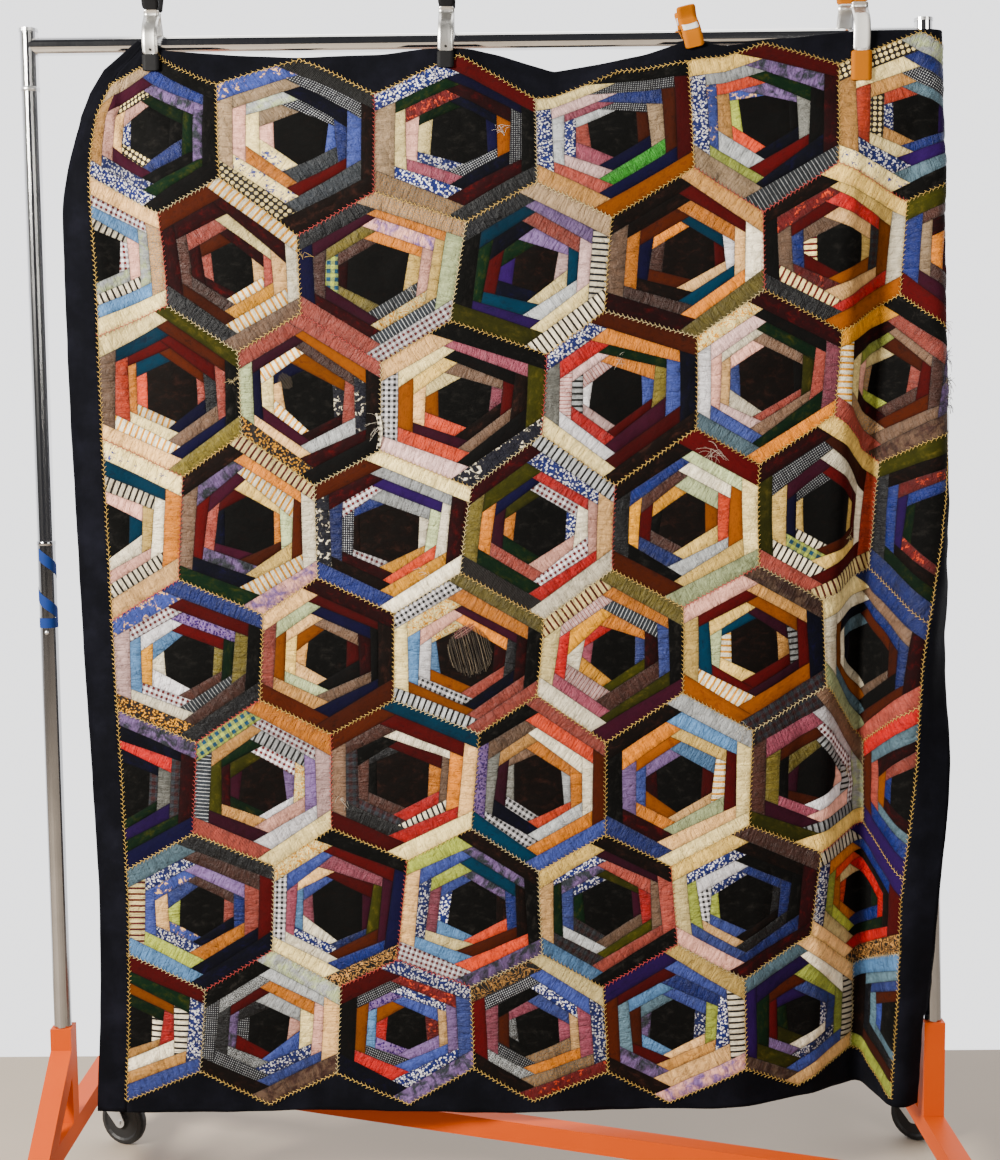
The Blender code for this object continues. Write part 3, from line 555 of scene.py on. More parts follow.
class Web:
    """Small helper for building the nodes of one material, or of the world."""

    def __init__(self, owner, shader="Principled BSDF"):
        owner.use_nodes = True
        self.owner = owner
        self.tree = owner.node_tree
        self.shader = self.tree.nodes[shader]

    def feed(self, item, inputs):
        for key, value in inputs.items():
            if hasattr(value, "links"):
                self.tree.links.new(value, item.inputs[key])
            elif value is not None:
                item.inputs[key].default_value = value

    def node(self, kind, inputs, **props):
        item = self.tree.nodes.new("ShaderNode" + kind)
        for key, value in props.items():
            setattr(item, key, value)
        self.feed(item, inputs)
        return item.outputs

    def math(self, operation, *values):
        return self.node("Math", dict(enumerate(values)), operation=operation)[0]

    def plus(self, a, b):
        return self.math("ADD", a, b)

    def times(self, a, b):
        return self.math("MULTIPLY", a, b)

    def apart(self, a, b):
        return self.math("ABSOLUTE", self.math("SUBTRACT", a, b))

    def sine(self, value, pitch):
        return self.math("SINE", self.times(value, CIRCLE / pitch))

    def bands(self, value, rate):
        return self.apart(self.math("FRACT", self.times(value, rate)), 0.5)

    def uv(self):
        return self.node("UVMap", {}, uv_map="log")[0]

    def place(self, kind="Object"):
        return self.node("TexCoord", {})[kind]

    def attribute(self, name):
        return self.node("Attribute", {}, attribute_name=name, attribute_type="GEOMETRY")["Color"]

    def scaled(self, vector, x, y, z=1.0):
        return self.node("Mapping", {"Vector": vector, "Scale": (x, y, z)})[0]

    def noise(self, vector, scale, detail=2.0, rough=0.5, distortion=0.0):
        return self.node("TexNoise", {
            "Vector": vector, "Scale": scale, "Detail": detail, "Roughness": rough, "Distortion": distortion,
        })[0]

    def cells(self, vector, scale, randomness):
        inputs = {"Vector": vector, "Scale": scale, "Randomness": randomness}
        return self.node("TexVoronoi", inputs)["Distance"]

    def steps(self, value, low, high):
        return self.node("MapRange", {0: value, 1: low, 2: high}, interpolation_type="SMOOTHSTEP")[0]

    def span(self, value, low, high):
        return self.node("MapRange", {0: value, 3: low, 4: high})[0]

    def mix(self, factor, a, b):
        return self.node("Mix", {0: factor, 6: a, 7: b}, data_type="RGBA")[2]

    def shade(self, colour, factor):
        return self.node("VectorMath", {0: colour, 3: factor}, operation="SCALE")[0]

    def split(self, vector):
        return self.node("SeparateXYZ", {0: vector})[:2]

    def bump(self, height, distance, strength=1.0, below=None):
        inputs = {"Height": height, "Distance": distance, "Strength": strength, "Normal": below}
        return self.node("Bump", inputs)[0]

    def finish(self, colour, roughness, normal=None, sheen=0.0, metallic=0.0, specular=0.5):
        self.feed(self.shader, {
            "Base Color": colour, "Roughness": roughness, "Normal": normal, "Metallic": metallic,
            "Specular IOR Level": specular, "Sheen Weight": sheen, "Sheen Roughness": 0.4,
        })
        return self.owner


def new_web(name):
    return Web(bpy.data.materials.new(name))


# how far the second dye of a printed or woven cloth shows: a field and where it steps from 0 to 1
PATTERNS = {
    "print": lambda w, uv: (w.plus(w.cells(uv, 230.0, 0.9), w.noise(uv, 260.0, 1.0)), 0.86, 1.0),
    "floral": lambda w, uv: (w.times(
        w.math("SUBTRACT", 1.0, w.apart(w.cells(uv, 42.0, 0.6), 0.34)), w.noise(uv, 130.0, 2.0, 0.6, 0.8)
    ), 0.47, 0.58),
    "brocade": lambda w, uv: (w.apart(w.noise(uv, 62.0, 1.5, 0.4, 2.6), 0.5), 0.06, 0.025),
    "dots": lambda w, uv: (w.cells(uv, 105.0, 0.0), 0.4, 0.33),
    "pindots": lambda w, uv: (w.cells(uv, 250.0, 0.0), 0.3, 0.2),
    "marble": lambda w, uv: (w.noise(uv, 48.0, 4.0, 0.6, 0.6), 0.38, 0.64),
    "tweed": lambda w, uv: (w.noise(uv, 620.0, 2.0), 0.42, 0.58),
    "stripe": lambda w, uv: (w.bands(w.split(uv)[0], 92.0), 0.2, 0.16),
    "pinstripe": lambda w, uv: (w.bands(w.split(uv)[0], 150.0), 0.12, 0.06),
}
CHECKS = {"check": 105.0, "plaid": 70.0}


def pattern(web, kind, uv):
    """How far the second dye shows, 0 to 1; uv is in metres along and across the log."""
    if kind in CHECKS:
        bands = (web.steps(web.bands(value, CHECKS[kind]), 0.27, 0.22) for value in web.split(uv))
        return web.times(web.plus(*bands), 0.5)
    if kind in PATTERNS:
        return web.steps(*PATTERNS[kind](web, uv))
    return web.steps(web.noise(uv, 34.0, 4.0, 0.65), 0.55, 0.95)


def velvet_material(web, uv, one, two):
    pile = web.noise(uv, 90.0, 5.0, 0.7)
    # crush: the crushed pile, which gives the bump and the pattern of the painted sheen
    crush_and_sheen = web.noise(web.scaled(uv, 40.0, 60.0), 1.0, 5.0, 0.75, 0.3)
    bald = web.times(web.steps(web.noise(uv, 40.0, 6.0, 0.75), 0.6, 0.74), 0.18)
    pile_sheen_and_shade = web.plus(web.times(crush_and_sheen, 1.5), web.times(pile, 0.5))
    # the lighter second dye shows on the crushed pile: painted sheen
    colour = web.mix(bald, web.mix(web.steps(crush_and_sheen, 0.48, 0.8), one, two), dyed("cocoa"))
    # the colour darkens and lightens with the crush: painted shade and sheen of the pile
    colour = web.shade(colour, web.times(pile_sheen_and_shade, 0.7))
    normal = web.bump(crush_and_sheen, 0.003, 0.6, web.bump(web.noise(uv, 1300.0, 2.0), 0.0004, 0.5))
    return web.finish(colour, web.span(pile, 0.75, 0.95), normal, sheen=0.03, specular=0.1)


def scrap_material(kind):
    web = new_web("scrap_" + kind)
    uv, one, two = web.uv(), web.attribute("tint"), web.attribute("tint2")
    if kind == "velvet":
        return velvet_material(web, uv, one, two)
    folds = web.noise(web.scaled(uv, 150.0, 24.0), 1.0, 4.0, 0.6, 0.9)
    soft = web.noise(uv, 60.0, 4.0, 0.66, 0.8)
    stain = web.steps(web.noise(uv, 17.0, 5.0, 0.7), 0.52, 0.74)
    # tone: painted shade and light of the wrinkles, from the same noise as their bump
    tone = web.plus(web.times(folds, 1.5), web.times(soft, 1.1))
    colour = web.shade(web.mix(pattern(web, kind, uv), one, two), web.span(stain, 1.0, 0.72))
    # the colour darkens and lightens with the painted wrinkle shade
    colour = web.shade(colour, web.plus(tone, -0.15))
    splits = web.steps(web.noise(web.scaled(uv, 900.0, 45.0), 1.0, 3.0, 0.6), 0.57, 0.63)
    crack = web.times(splits, web.steps(web.noise(uv, 26.0, 4.0, 0.6), 0.56, 0.66))
    colour = web.mix(web.times(crack, 0.45), colour, dyed("umber"))
    along, across = web.split(uv)
    normal = web.bump(web.times(web.sine(along, 0.0007), web.sine(across, 0.0006)), 0.00006, 0.5)
    normal = web.bump(soft, 0.006, 0.9, web.bump(folds, 0.005, 1.0, normal))
    if kind == "rib":
        cords = web.sine(along, 0.0026)
        normal = web.bump(cords, 0.0005, 0.9, normal)
        colour = web.shade(colour, web.span(cords, 0.8, 1.15))
    rough = web.math("MULTIPLY_ADD", soft, 0.25, 0.42 if kind in ("silk", "brocade") else 0.62)
    return web.finish(colour, rough, normal, specular=0.28)


def cotton_material(name, colour, other):
    web = new_web(name)
    uv = web.uv()
    weave = web.times(*(web.sine(value, 0.0011) for value in web.split(uv)))
    wear = web.noise(uv, 9.0, 5.0, 0.65)
    tone = web.plus(web.times(wear, 0.75), web.times(web.noise(uv, 420.0, 2.0, 0.6), 0.5))
    tint = web.mix(web.steps(wear, 0.4, 0.75), dyed(colour), dyed(other))
    normal = web.bump(web.noise(uv, 26.0, 3.0, 0.6), 0.004, 0.35, web.bump(weave, 0.00012, 0.6))
    return web.finish(web.shade(tint, web.plus(tone, 0.35)), 0.93, normal, specular=0.1)


def thread_material():
    web = new_web("silk_thread")
    twist = web.math("SINE", web.times(web.noise(web.uv(), 300.0), 40.0))
    colour = web.shade(web.attribute("tint"), web.span(twist, 0.8, 1.1))
    return web.finish(colour, 0.5, web.bump(twist, 0.0002, 0.5), sheen=0.05, specular=0.4)


# ---- the pieced field

def meet(a, b, c, d):
    """Crossing of the line a-b with the line c-d."""
    r, s = b - a, d - c
    t = ((c - a)[0] * s[1] - (c - a)[1] * s[0]) / (r[0] * s[1] - r[1] * s[0])
    return a + r * t


def add_log(heap, inner_a, inner_b, outer_b, outer_a, cloth, rng, shade):
    """One strip: a low pillow on the cloth, puckered along its seams, with painted shade darkening its ends
    and edges.
    """
    kind, one, two = CLOTHS[cloth]
    pucker = 0.00025 if kind in ("velvet", "tweed", "rib") else rng.uniform(0.0004, 0.0009)
    puff = rng.uniform(0.0007, 0.0014)
    length = 0.5 * (np.linalg.norm(inner_b - inner_a) + np.linalg.norm(outer_b - outer_a))
    width = 0.5 * (np.linalg.norm(outer_a - inner_a) + np.linalg.norm(outer_b - inner_b))
    end = min(LOG_EDGE / max(length, 0.01), 0.2)
    side = min(0.0014 / max(width, 0.005), 0.2)
    middle = np.linspace(0, 1, max(int(round(length / LOG_STEP)), 3) + 1)[1:-1]
    s, t = np.meshgrid([0.0, end, *middle, 1 - end, 1.0], [0.0, side, 0.26, 0.5, 0.74, 1 - side, 1.0])
    flat = lerp(lerp(inner_a, inner_b, s[..., None]), lerp(outer_a, outer_b, s[..., None]), t[..., None])
    swell = (1 - (2 * t - 1) ** 4) * (1 - (2 * s - 1) ** 10)
    phase = rng.uniform(0, 6.28, 3)
    rate = rng.uniform(0.9, 1.5, 2)
    wave = np.sin(s * length * CIRCLE / (0.017 * rate[0]) + phase[0] + 1.5 * t)
    wave = wave + 0.7 * np.sin(s * length * CIRCLE / (0.029 * rate[1]) + phase[1] - 2.0 * t)
    rise = puff + pucker * wave * (0.35 + 0.65 * np.abs(2 * t - 1))
    height = np.maximum(LIFT + swell * rise, LIFT - 0.0002)
    reach = unit(outer_b - outer_a)
    uv = np.stack([flat @ reach, flat @ np.array([-reach[1], reach[0]])], axis=-1) + rng.uniform(0.0, 3.0, 2)
    # edge and depth: painted shade, darkening the colour towards the log's ends and sides where the seams are
    edge = np.minimum(np.minimum(t, 1 - t) * width, np.minimum(s, 1 - s) * length)
    depth = 0.28 + 0.5 * ease(edge / LOG_EDGE) + 0.22 * ease(edge / LOG_STEP)
    heap.grid(lifted(flat, height), uv, KINDS.index(kind), dyed(one, shade), dyed(two, shade), depth)


def add_heart(heap, ring, centre, half, cloth, rng):
    kind, one, two = CLOTHS[cloth]
    count = len(ring)
    first, last = {"left": (0, count - 1), "right": (1, count), None: (0, count)}[half]
    spin = rng.uniform(0.0, 3.0, 2)
    for k in range(first, last):
        s, t = np.meshgrid(np.linspace(0, 1, 7), [0.0, 0.25, 0.5, 0.75, 0.96, 1.0])
        flat = lerp(centre, lerp(ring[k], ring[(k + 1) % count], s[..., None]), t[..., None])
        points = lifted(flat, LIFT + 0.0011 * (1 - t ** 6))
        heap.grid(points, flat + spin, KINDS.index(kind), dyed(one, 0.8), dyed(two, 0.8))


def build_block(heap, row, place, spec):
    rng = np.random.default_rng(1000 + row * 31 + place * 7)
    names, left, right, heart_cloth = (part.split() for part in (spec + "|black").split("|")[:4])
    col = 2 * place + row % 2
    lines, cols = (-1, -1, 0, 0, 0, -1), (0, 1, 1, 0, -1, -1)
    corners = [corner(row + k, col + c) if 0 <= col + c <= 12 else None for k, c in zip(lines, cols)]
    half = "left" if col == 0 else "right" if col == 12 else None
    sides = {"left": (0, 1, 2), "right": (3, 4, 5), None: tuple(range(6))}[half]
    if half is None:
        centre = sum(corners) / 6.0 + rng.uniform(-OFF_CENTRE, OFF_CENTRE, 2)
    else:
        centre = 0.5 * (corners[0] + corners[3])
    heart = HEART + rng.uniform(-HEART_VARIES, HEART_VARIES)
    rings = []
    for share in RINGS:
        grow = heart + (share - HEART) * (1 - heart) / (1 - HEART)
        ring = []
        for c in corners:
            if c is None:
                ring.append(None)
                continue
            wobble = rng.uniform(-WOBBLE, WOBBLE) if share < 1 else 0.0
            shift = rng.uniform(-SHIFT, SHIFT, 2) * (share < 1 and half is None)
            ring.append(centre + (c - centre) * (grow + wobble) + shift)
        rings.append(ring)
    left, right = list(rng.permutation(left)), list(rng.permutation(right))
    for inner, outer in zip(rings, rings[1:]):
        for side in sides:
            nxt, last = (side + 1) % 6, (side - 1) % 6
            ends = []
            for here, far, other, beyond in ((side, nxt, last, last), (nxt, side, nxt, (side + 2) % 6)):
                low, high = inner[here], outer[here]
                if other in sides and SEWN[side] > SEWN[other]:
                    low = meet(inner[far], inner[here], outer[beyond], outer[here])
                if other in sides and SEWN[side] < SEWN[other]:
                    high = meet(inner[beyond], inner[here], outer[far], outer[here])
                ends.append((low, high))
            if outer is rings[-1]:
                cloth = names[OUTER_ORDER[side]]
            else:
                pool = right if side < 3 else left
                cloth = pool.pop(0)
                pool.append(cloth)
            quad = (ends[0][0], ends[1][0], ends[1][1], ends[0][1])
            add_log(heap, *quad, cloth, rng, rng.uniform(0.8, 1.04))
    add_heart(heap, [c for c in rings[0] if c is not None], centre, half, heart_cloth[0], rng)


def build_tatter(mats):
    """A narrow checked strip that has come away at one corner and hangs."""
    heap = Heap()
    w, t = np.meshgrid(np.linspace(-1, 1, 5), np.linspace(0, 1, 16))
    u = 0.555 + 0.006 * np.sin(t * 3.0) + w * 0.0042 * (1 - 0.35 * t)
    flat = np.stack([u, 0.65 + t * 0.062], axis=-1)
    height = LIFT + 0.0016 + 0.0045 * np.sin(t * math.pi) ** 2 + 0.001 * w * np.sin(t * 9.0)
    heap.grid(lifted(flat, height), flat, KINDS.index("check"), dyed("ivory"), dyed("soot"))
    return heap.build("hanging_tatter", mats)


def build_field():
    mats = [scrap_material(kind) for kind in KINDS]
    pieces = []
    for row, blocks in enumerate(BLOCKS, 1):
        heap = Heap()
        for place, spec in enumerate(blocks):
            build_block(heap, row, place, spec)
        pieces.append(heap.build("scraps_row_%d" % row, mats))
    return pieces + [build_tatter(mats)]


# ---- sheets: the ground of the field and the border strips

# name, left and right ends, columns, the seams above and below or None for the quilt's edge, rows
SHEETS = (
    ("ground", "field_ground", FIELD_L, FIELD_R, 235, 0, 8, 145),
    ("top", "border_cloth_top", FIELD_L, FIELD_R, 157, None, 0, 13),
    ("bottom", "border_cloth_bottom", FIELD_L, FIELD_R, 157, 8, None, 9),
    ("left", "border_cloth_left", 0.0, FIELD_L, 10, None, None, 193),
    ("right", "border_cloth_right", FIELD_R, WIDTH, 10, None, None, 193),
)


def cloth_sheet(name, us, vs, thick, mat, relief):
    middle, normal, _, _ = frame_at(us, vs)
    front = middle + normal * np.broadcast_to(thick / 2 + relief, us.shape)[..., None]
    back = middle - normal * thick / 2
    index = np.arange(us.size).reshape(us.shape)
    quads = quads_of(index)
    rim = np.concatenate([index[0], index[1:, -1], index[-1, -2::-1], index[-2:0:-1, 0]])
    after = np.roll(rim, -1)
    edge = np.stack([rim, after, us.size + after, us.size + rim], axis=-1)
    faces = np.concatenate([quads, us.size + quads[:, ::-1], edge])
    verts = np.concatenate([front.reshape(-1, 3), back.reshape(-1, 3)])
    thing = new_object(name, verts, faces.tolist(), [mat])
    flat = np.stack([us, vs], axis=-1).reshape(-1, 2)
    set_uv(thing.data, flat[faces.ravel() % us.size])
    return thing


def ruffle(u, v):
    """Small unevenness of the border, in metres."""
    soft = np.sin(u * 41.0 + 3.0 * np.sin(v * 9.0)) * np.sin(v * 33.0 + 2.0 * np.sin(u * 13.0))
    fine = np.sin(u * 170.0 + v * 60.0) * np.sin(v * 120.0 - u * 40.0)
    return 0.0005 + 0.0005 * soft + 0.00015 * fine


def build_cloth():
    cotton = cotton_material("border_cloth", "midnight", "night")
    lining = cotton_material("lining_cloth", "night", "midnight")
    things = {}
    for side, name, left, right, cols, above, below, rows in SHEETS:
        us = np.broadcast_to(np.linspace(left, right, cols), (rows, cols))
        top = 0.0 if above is None else zig(above, us)
        bottom = HEIGHT if below is None else zig(below, us)
        vs = np.broadcast_to(lerp(top, bottom, np.linspace(0, 1, rows)[:, None]), us.shape)
        style = (CLOTH, lining, 0.0) if side == "ground" else (BORDER_CLOTH, cotton, ruffle(us, vs))
        things[side] = cloth_sheet(name, us, vs, *style)
    return things


# ---- stitching along the seams, and threads that have come loose

THREADS = dict(
    gold=(224, 182, 92), straw=(232, 208, 150), red=(196, 66, 60), pale=(228, 218, 202), green=(150, 150, 80),
    rose=(190, 150, 140), claret=(128, 44, 54), dark=(44, 34, 28), smoke=(120, 104, 82), dust=(150, 136, 112),
)
# patches worn down to their threads: u, v, half width, half length, lean, count, tints
WORN = (
    (0.716, 1.072, 0.04, 0.047, 0.25, 74, ("dark", "dark", "smoke", "dark", "dust")),
    (0.706, 1.036, 0.008, 0.024, -1.0, 14, ("claret", "rose", "claret")),
    (0.392, 0.592, 0.012, 0.016, 0.6, 14, ("dark", "smoke")),
)
# frayed spots: u, v, count, reach, tint
FRAYS = (
    (0.561, 0.668, 22, 0.03, "pale"),
    (0.64, 0.93, 10, 0.022, "pale"),
    (1.155, 0.725, 24, 0.03, "pale"),
    (0.771, 0.15, 16, 0.02, "pale"),
    (1.612, 0.505, 14, 0.02, "rose"),
    (1.614, 0.56, 26, 0.02, "dark"),
    (1.614, 0.605, 26, 0.018, "smoke"),
    (1.612, 0.64, 20, 0.018, "dark"),
    (0.427, 0.372, 12, 0.016, "gold"),
    (1.22, 1.22, 12, 0.02, "pale"),
    (0.88, 1.0, 10, 0.018, "green"),
    (0.3, 0.59, 10, 0.018, "straw"),
    (0.62, 0.43, 8, 0.02, "pale"),
    (1.43, 0.88, 14, 0.024, "straw"),
    (1.44, 1.31, 12, 0.022, "straw"),
    (0.98, 0.56, 8, 0.018, "pale"),
    (0.48, 1.34, 8, 0.018, "pale"),
)
TURNED_EDGE = 1.6
# spacing of the briar stitches, reach of their zigzag and barbs, unevenness, thread radius
STITCH, ZIGZAG, BARB, WILD, SILK_R = 0.0042, 0.0013, 0.0024, 0.0005, 0.0004


def tube(heap, points, radius, tint, sides=3):
    """Thin thread through the points."""
    step = unit(np.gradient(points, axis=0))
    side = unit(np.cross(step, np.array([0.31, -0.86, 0.41])))
    top = np.cross(side, step)
    angle = np.arange(sides + 1) * CIRCLE / sides
    ring = np.cos(angle)[:, None, None] * side + np.sin(angle)[:, None, None] * top
    uv = np.stack(np.meshgrid(np.arange(len(points)) * 0.003, angle), axis=-1)
    heap.grid(points[None] + ring * radius, uv, 0, tint, tint)


def thread_tint(name, shade):
    return tuple(np.clip(np.array(THREADS[name]) / 255.0 * shade, 0, 1) ** 2.2) + (1.0,)


def stitch_line(heap, a, b, colour, rng):
    """Briar stitch from a to b: a line of short bars, with a barb to either side in turn."""
    count = max(int(round(np.linalg.norm(b - a) / STITCH)), 2) + 1
    flat = lerp(a, b, np.linspace(0, 1, count)[:, None])
    point, normal, _, _ = frame_at(flat[:, 0], flat[:, 1])
    along = unit(np.gradient(point, axis=0))
    side = np.cross(normal, along)
    flip = np.where(np.arange(count) % 2 == 0, 1.0, -1.0)
    wild = rng.uniform(-WILD, WILD, (count, 3))
    joint = point + normal * (LIFT + 0.0012) + along * wild[:, 1:2]
    joint = joint + side * (flip * ZIGZAG + wild[:, 0])[:, None]
    tips = joint + side * (flip * (BARB + wild[:, 1]))[:, None] - along * (0.0022 + wild[:, 2:3])
    tint = thread_tint(colour, rng.uniform(0.9, 1.05))
    tube(heap, joint, SILK_R, tint, 4)
    for tip, end, up in zip(tips, joint, normal * 0.0003):
        tube(heap, np.array([tip - up, 0.5 * (end + tip) + up, end]), 0.00034, tint)


def loose_thread(heap, u, v, reach, turn, tint, rng, stand):
    """One thread end that leaves the cloth at u, v and hangs; it stands off it by `stand`."""
    point, normal, across, down = frame_at(u, v)
    t = np.linspace(0, 1, 7)[:, None]
    out = across * math.cos(turn) + down * math.sin(turn)
    hang = (across * rng.uniform(-0.35, 0.35) + down * 0.45) * t ** 2
    path = point + normal * (LIFT + 0.0008 + 0.0016 * np.sin(t * math.pi) + stand * t)
    tube(heap, path + (out * t + hang) * reach, 0.00036 if stand else 0.00022, tint)


def build_loose(mat):
    heap = Heap()
    rng = np.random.default_rng(5)
    for mid_u, mid_v, count, reach, dye in FRAYS:
        for _ in range(count):
            u = min(mid_u + rng.uniform(-0.01, 0.01), FIELD_R - 0.002)
            v = mid_v + rng.uniform(-0.008, 0.008)
            tint = thread_tint(dye, rng.uniform(0.75, 1.0))
            stand = 0.01 * rng.uniform(0.2, 1.0) if mid_u > TURNED_EDGE else 0.0
            length = reach * rng.uniform(0.3, 1.0)
            loose_thread(heap, u, v, length, rng.uniform(0, 6.28), tint, rng, stand)
    for u, v, wide, long, lean, count, dyes in WORN:
        axis = np.array([math.sin(lean), math.cos(lean)])
        cross = np.array([axis[1], -axis[0]])
        t = np.linspace(-1, 1, 9)[:, None]
        for k in range(count):
            s = k / (count - 1.0) * 2 - 1
            span = long * math.sqrt(1.04 - s * s) * rng.uniform(0.8, 1.0)
            bow = 0.08 * (1 - t ** 2) * wide * rng.uniform(-1, 1)
            flat = np.array([u, v]) + cross * (wide * s + bow) + axis * span * t
            tint = thread_tint(dyes[k % len(dyes)], rng.uniform(0.6, 1.1))
            tube(heap, lifted(flat, LIFT + 0.0015 + rng.uniform(0, 0.0008)), 0.00033, tint)
    return heap.build("loose_threads", [mat])


def build_stitches():
    """Seams across, line by line, each with the upright seams and edges that hang from it."""
    mat = thread_material()
    pieces = []
    rng = np.random.default_rng(21)
    for line in range(9):
        heap = Heap()
        for col in range(12):
            colour = rng.choice(["gold", "gold", "gold", "straw", "red"]) if 0 < line < 8 else "gold"
            stitch_line(heap, corner(line, col), corner(line, col + 1), colour, rng)
        for col in range(13 if line < 8 else 0):
            if (col + line) % 2 == 0 or col in (0, 12):
                colour = "gold" if col in (0, 12) else rng.choice(["gold", "gold", "straw", "red"])
                stitch_line(heap, corner(line, col), corner(line + 1, col), colour, rng)
        pieces.append(heap.build("stitches_%d" % line, [mat]))
    return pieces + [build_loose(mat)]


# ---- materials of the rack and clamps

def steel_material(name, tone, rough, scratch):
    web = new_web(name)
    place = web.place()
    streak = web.noise(web.scaled(place, 300.0, 300.0, 6.0), 1.0, 3.0, 0.6)
    cloud = web.noise(place, 14.0, 4.0, 0.6)
    value = web.plus(web.times(streak, scratch), web.math("MULTIPLY_ADD", cloud, scratch, rough))
    dim = tuple(0.86 * c for c in tone)
    tint = web.mix(web.steps(cloud, 0.3, 0.8), tone + (1.0,), dim + (1.0,))
    return web.finish(tint, value, web.bump(streak, 0.0001, 0.15), metallic=1.0)


def paint_material():
    web = new_web("orange_enamel")
    place = web.place()
    cloud = web.noise(place, 11.0, 4.0, 0.6)
    chips = web.steps(web.noise(place, 95.0, 5.0, 0.75), 0.72, 0.78)
    base = web.mix(cloud, (0.44, 0.05, 0.0, 1.0), (0.49, 0.062, 0.0, 1.0))
    colour = web.mix(web.times(chips, 0.35), base, (0.3, 0.09, 0.03, 1.0))
    normal = web.bump(web.noise(place, 320.0, 2.0), 0.0003, 0.25)
    return web.finish(colour, web.span(cloud, 0.4, 0.55), normal, specular=0.12)


def rubber_material(name, tone, rough, specular):
    web = new_web(name)
    place = web.place()
    cloud = web.noise(place, 60.0, 4.0, 0.7)
    dust = web.times(web.steps(web.noise(place, 130.0, 4.0, 0.7), 0.5, 0.8), 0.35)
    tint = web.mix(dust, tone + (1.0,), tuple(c * 0.9 + 0.006 for c in tone) + (1.0,))
    rough = web.span(cloud, rough - 0.1, rough + 0.1)
    return web.finish(tint, rough, web.bump(cloud, 0.0004, 0.3), specular=specular)


# ---- clamps, with outlines as (y, z)

# number, x, width of arm and pad, lean, shift of the rear arm, lower and upper end of the jaw
CLAMPS = (
    (1, -0.582, 0.027, 0.029, 0.0, 0.0, 2.055, 2.0827),
    (2, -0.0705, 0.027, 0.029, -1.5, 0.0, 2.055, 2.0827),
    (4, 0.6475, 0.029, 0.035, 0.0, -0.02, 2.025, 2.075),
)
SMALL_X, SMALL_WIDE, SMALL_LEAN = 0.356, 0.033, 13.0
STEEL_FRONT = [
    (-0.031, 2.104), (-0.0285, 2.129), (-0.0075, 2.15), (-0.0075, 2.157), (-0.011, 2.162),
]
STEEL_REAR = [
    (0.019, 2.084), (0.0245, 2.104), (0.021, 2.129), (0.0055, 2.15), (0.0055, 2.157),
    (0.009, 2.162),
]
SMALL_FRONT = [
    (-0.0252, 2.084), (-0.0275, 2.108), (-0.0205, 2.122), (-0.0091, 2.134), (-0.0091, 2.141),
    (-0.021, 2.1565),
]
SMALL_REAR = [
    (0.0205, 2.084), (0.0235, 2.108), (0.0185, 2.122), (0.0091, 2.134), (0.0091, 2.141),
    (0.021, 2.1565),
]
GRIP_RISE = [(0.0116, 2.1617), (0.032, 2.198), (0.043, 2.226), (0.044, 2.242)]
BIG_LABEL = [(-0.0283, 2.079), (-0.0322, 2.104), (-0.0298, 2.1292), (-0.019, 2.14)]
SMALL_LABEL = [(-0.0277, 2.1145), (-0.024, 2.1215), (-0.017, 2.128)]
ARM_T = 0.0016
SMALL_T = GRIP_T = 0.005
PAD_T = 0.006
PIN_Y, PIN_Z = -0.001, 2.1535
SIDEWAYS = Matrix.Rotation(math.radians(90), 4, "Y")
FORWARD = Matrix.Rotation(math.radians(90), 4, "X")


def smooth_line(line):
    points = np.array(line, float)
    for _ in range(3):
        cut = np.empty((2 * len(points) - 2, 2))
        cut[0::2] = lerp(points[:-1], points[1:], 0.25)
        cut[1::2] = lerp(points[:-1], points[1:], 0.75)
        points = np.concatenate([points[:1], cut, points[-1:]])
    return points


def loft(name, place, rings, mat):
    """Closed body through rings of points, with a flat cap at either end."""
    turn = np.array(place)
    index = np.arange(rings[..., 0].size).reshape(rings.shape[:2])
    faces = quads_of(np.concatenate([index, index[:, :1]], axis=1)).tolist()
    faces += [index[0, ::-1].tolist(), index[-1].tolist()]
    thing = new_object(name, rings.reshape(-1, 3) @ turn[:3, :3].T + turn[:3, 3], faces, [mat])
    work = bmesh.new()
    work.from_mesh(thing.data)
    bmesh.ops.recalc_face_normals(work, faces=work.faces)
    work.to_mesh(thing.data)
    work.free()
    return thing


def soft_strip(name, line, thick, width, place, mat, corner=0.0045, crown=0.0):
    """Bent strip along a line, with rounded edges, rounded end corners and a crowned face."""
    raw = smooth_line(line)
    run = np.concatenate([[0.0], np.cumsum(np.linalg.norm(np.diff(raw, axis=0), axis=1))])
    corner = min(corner, width / 2 - 0.001, run[-1] / 2)
    ends = corner * (1 - np.cos(np.linspace(0, math.pi / 2, 7)))
    middle = np.linspace(corner, run[-1] - corner, max(int((run[-1] - 2 * corner) / 0.002), 3))
    s = np.concatenate([ends[:-1], middle, run[-1] - ends[::-1][1:]])
    path = np.stack([np.interp(s, run, raw[:, k]) for k in (0, 1)], axis=-1)
    step = unit(np.gradient(path, axis=0))
    side = np.stack([-step[:, 1], step[:, 0]], axis=-1)
    near = np.clip(np.minimum(s, run[-1] - s) / corner, 0.0, 1.0)
    half = width / 2 - corner + corner * np.sqrt(1 - (1 - near) ** 2)
    lip = 0.35 * min(thick / 2, 0.0011)
    across = np.array([-1.0, -0.55, 0.0, 0.55, 1.0, 1.0, 0.55, 0.0, -0.55, -1.0])
    edge = np.abs(across) == 1.0
    rise = np.repeat([-0.5, 0.5], 5) * np.where(edge, thick - 2 * lip, 0.985 * thick) + crown * across ** 2
    x = across * (half[:, None] - np.where(edge, 0.0, lip))
    rings = np.concatenate([x[..., None], path[:, None] + side[:, None] * rise[:, None]], axis=-1)
    return loft(name, place, rings, mat)


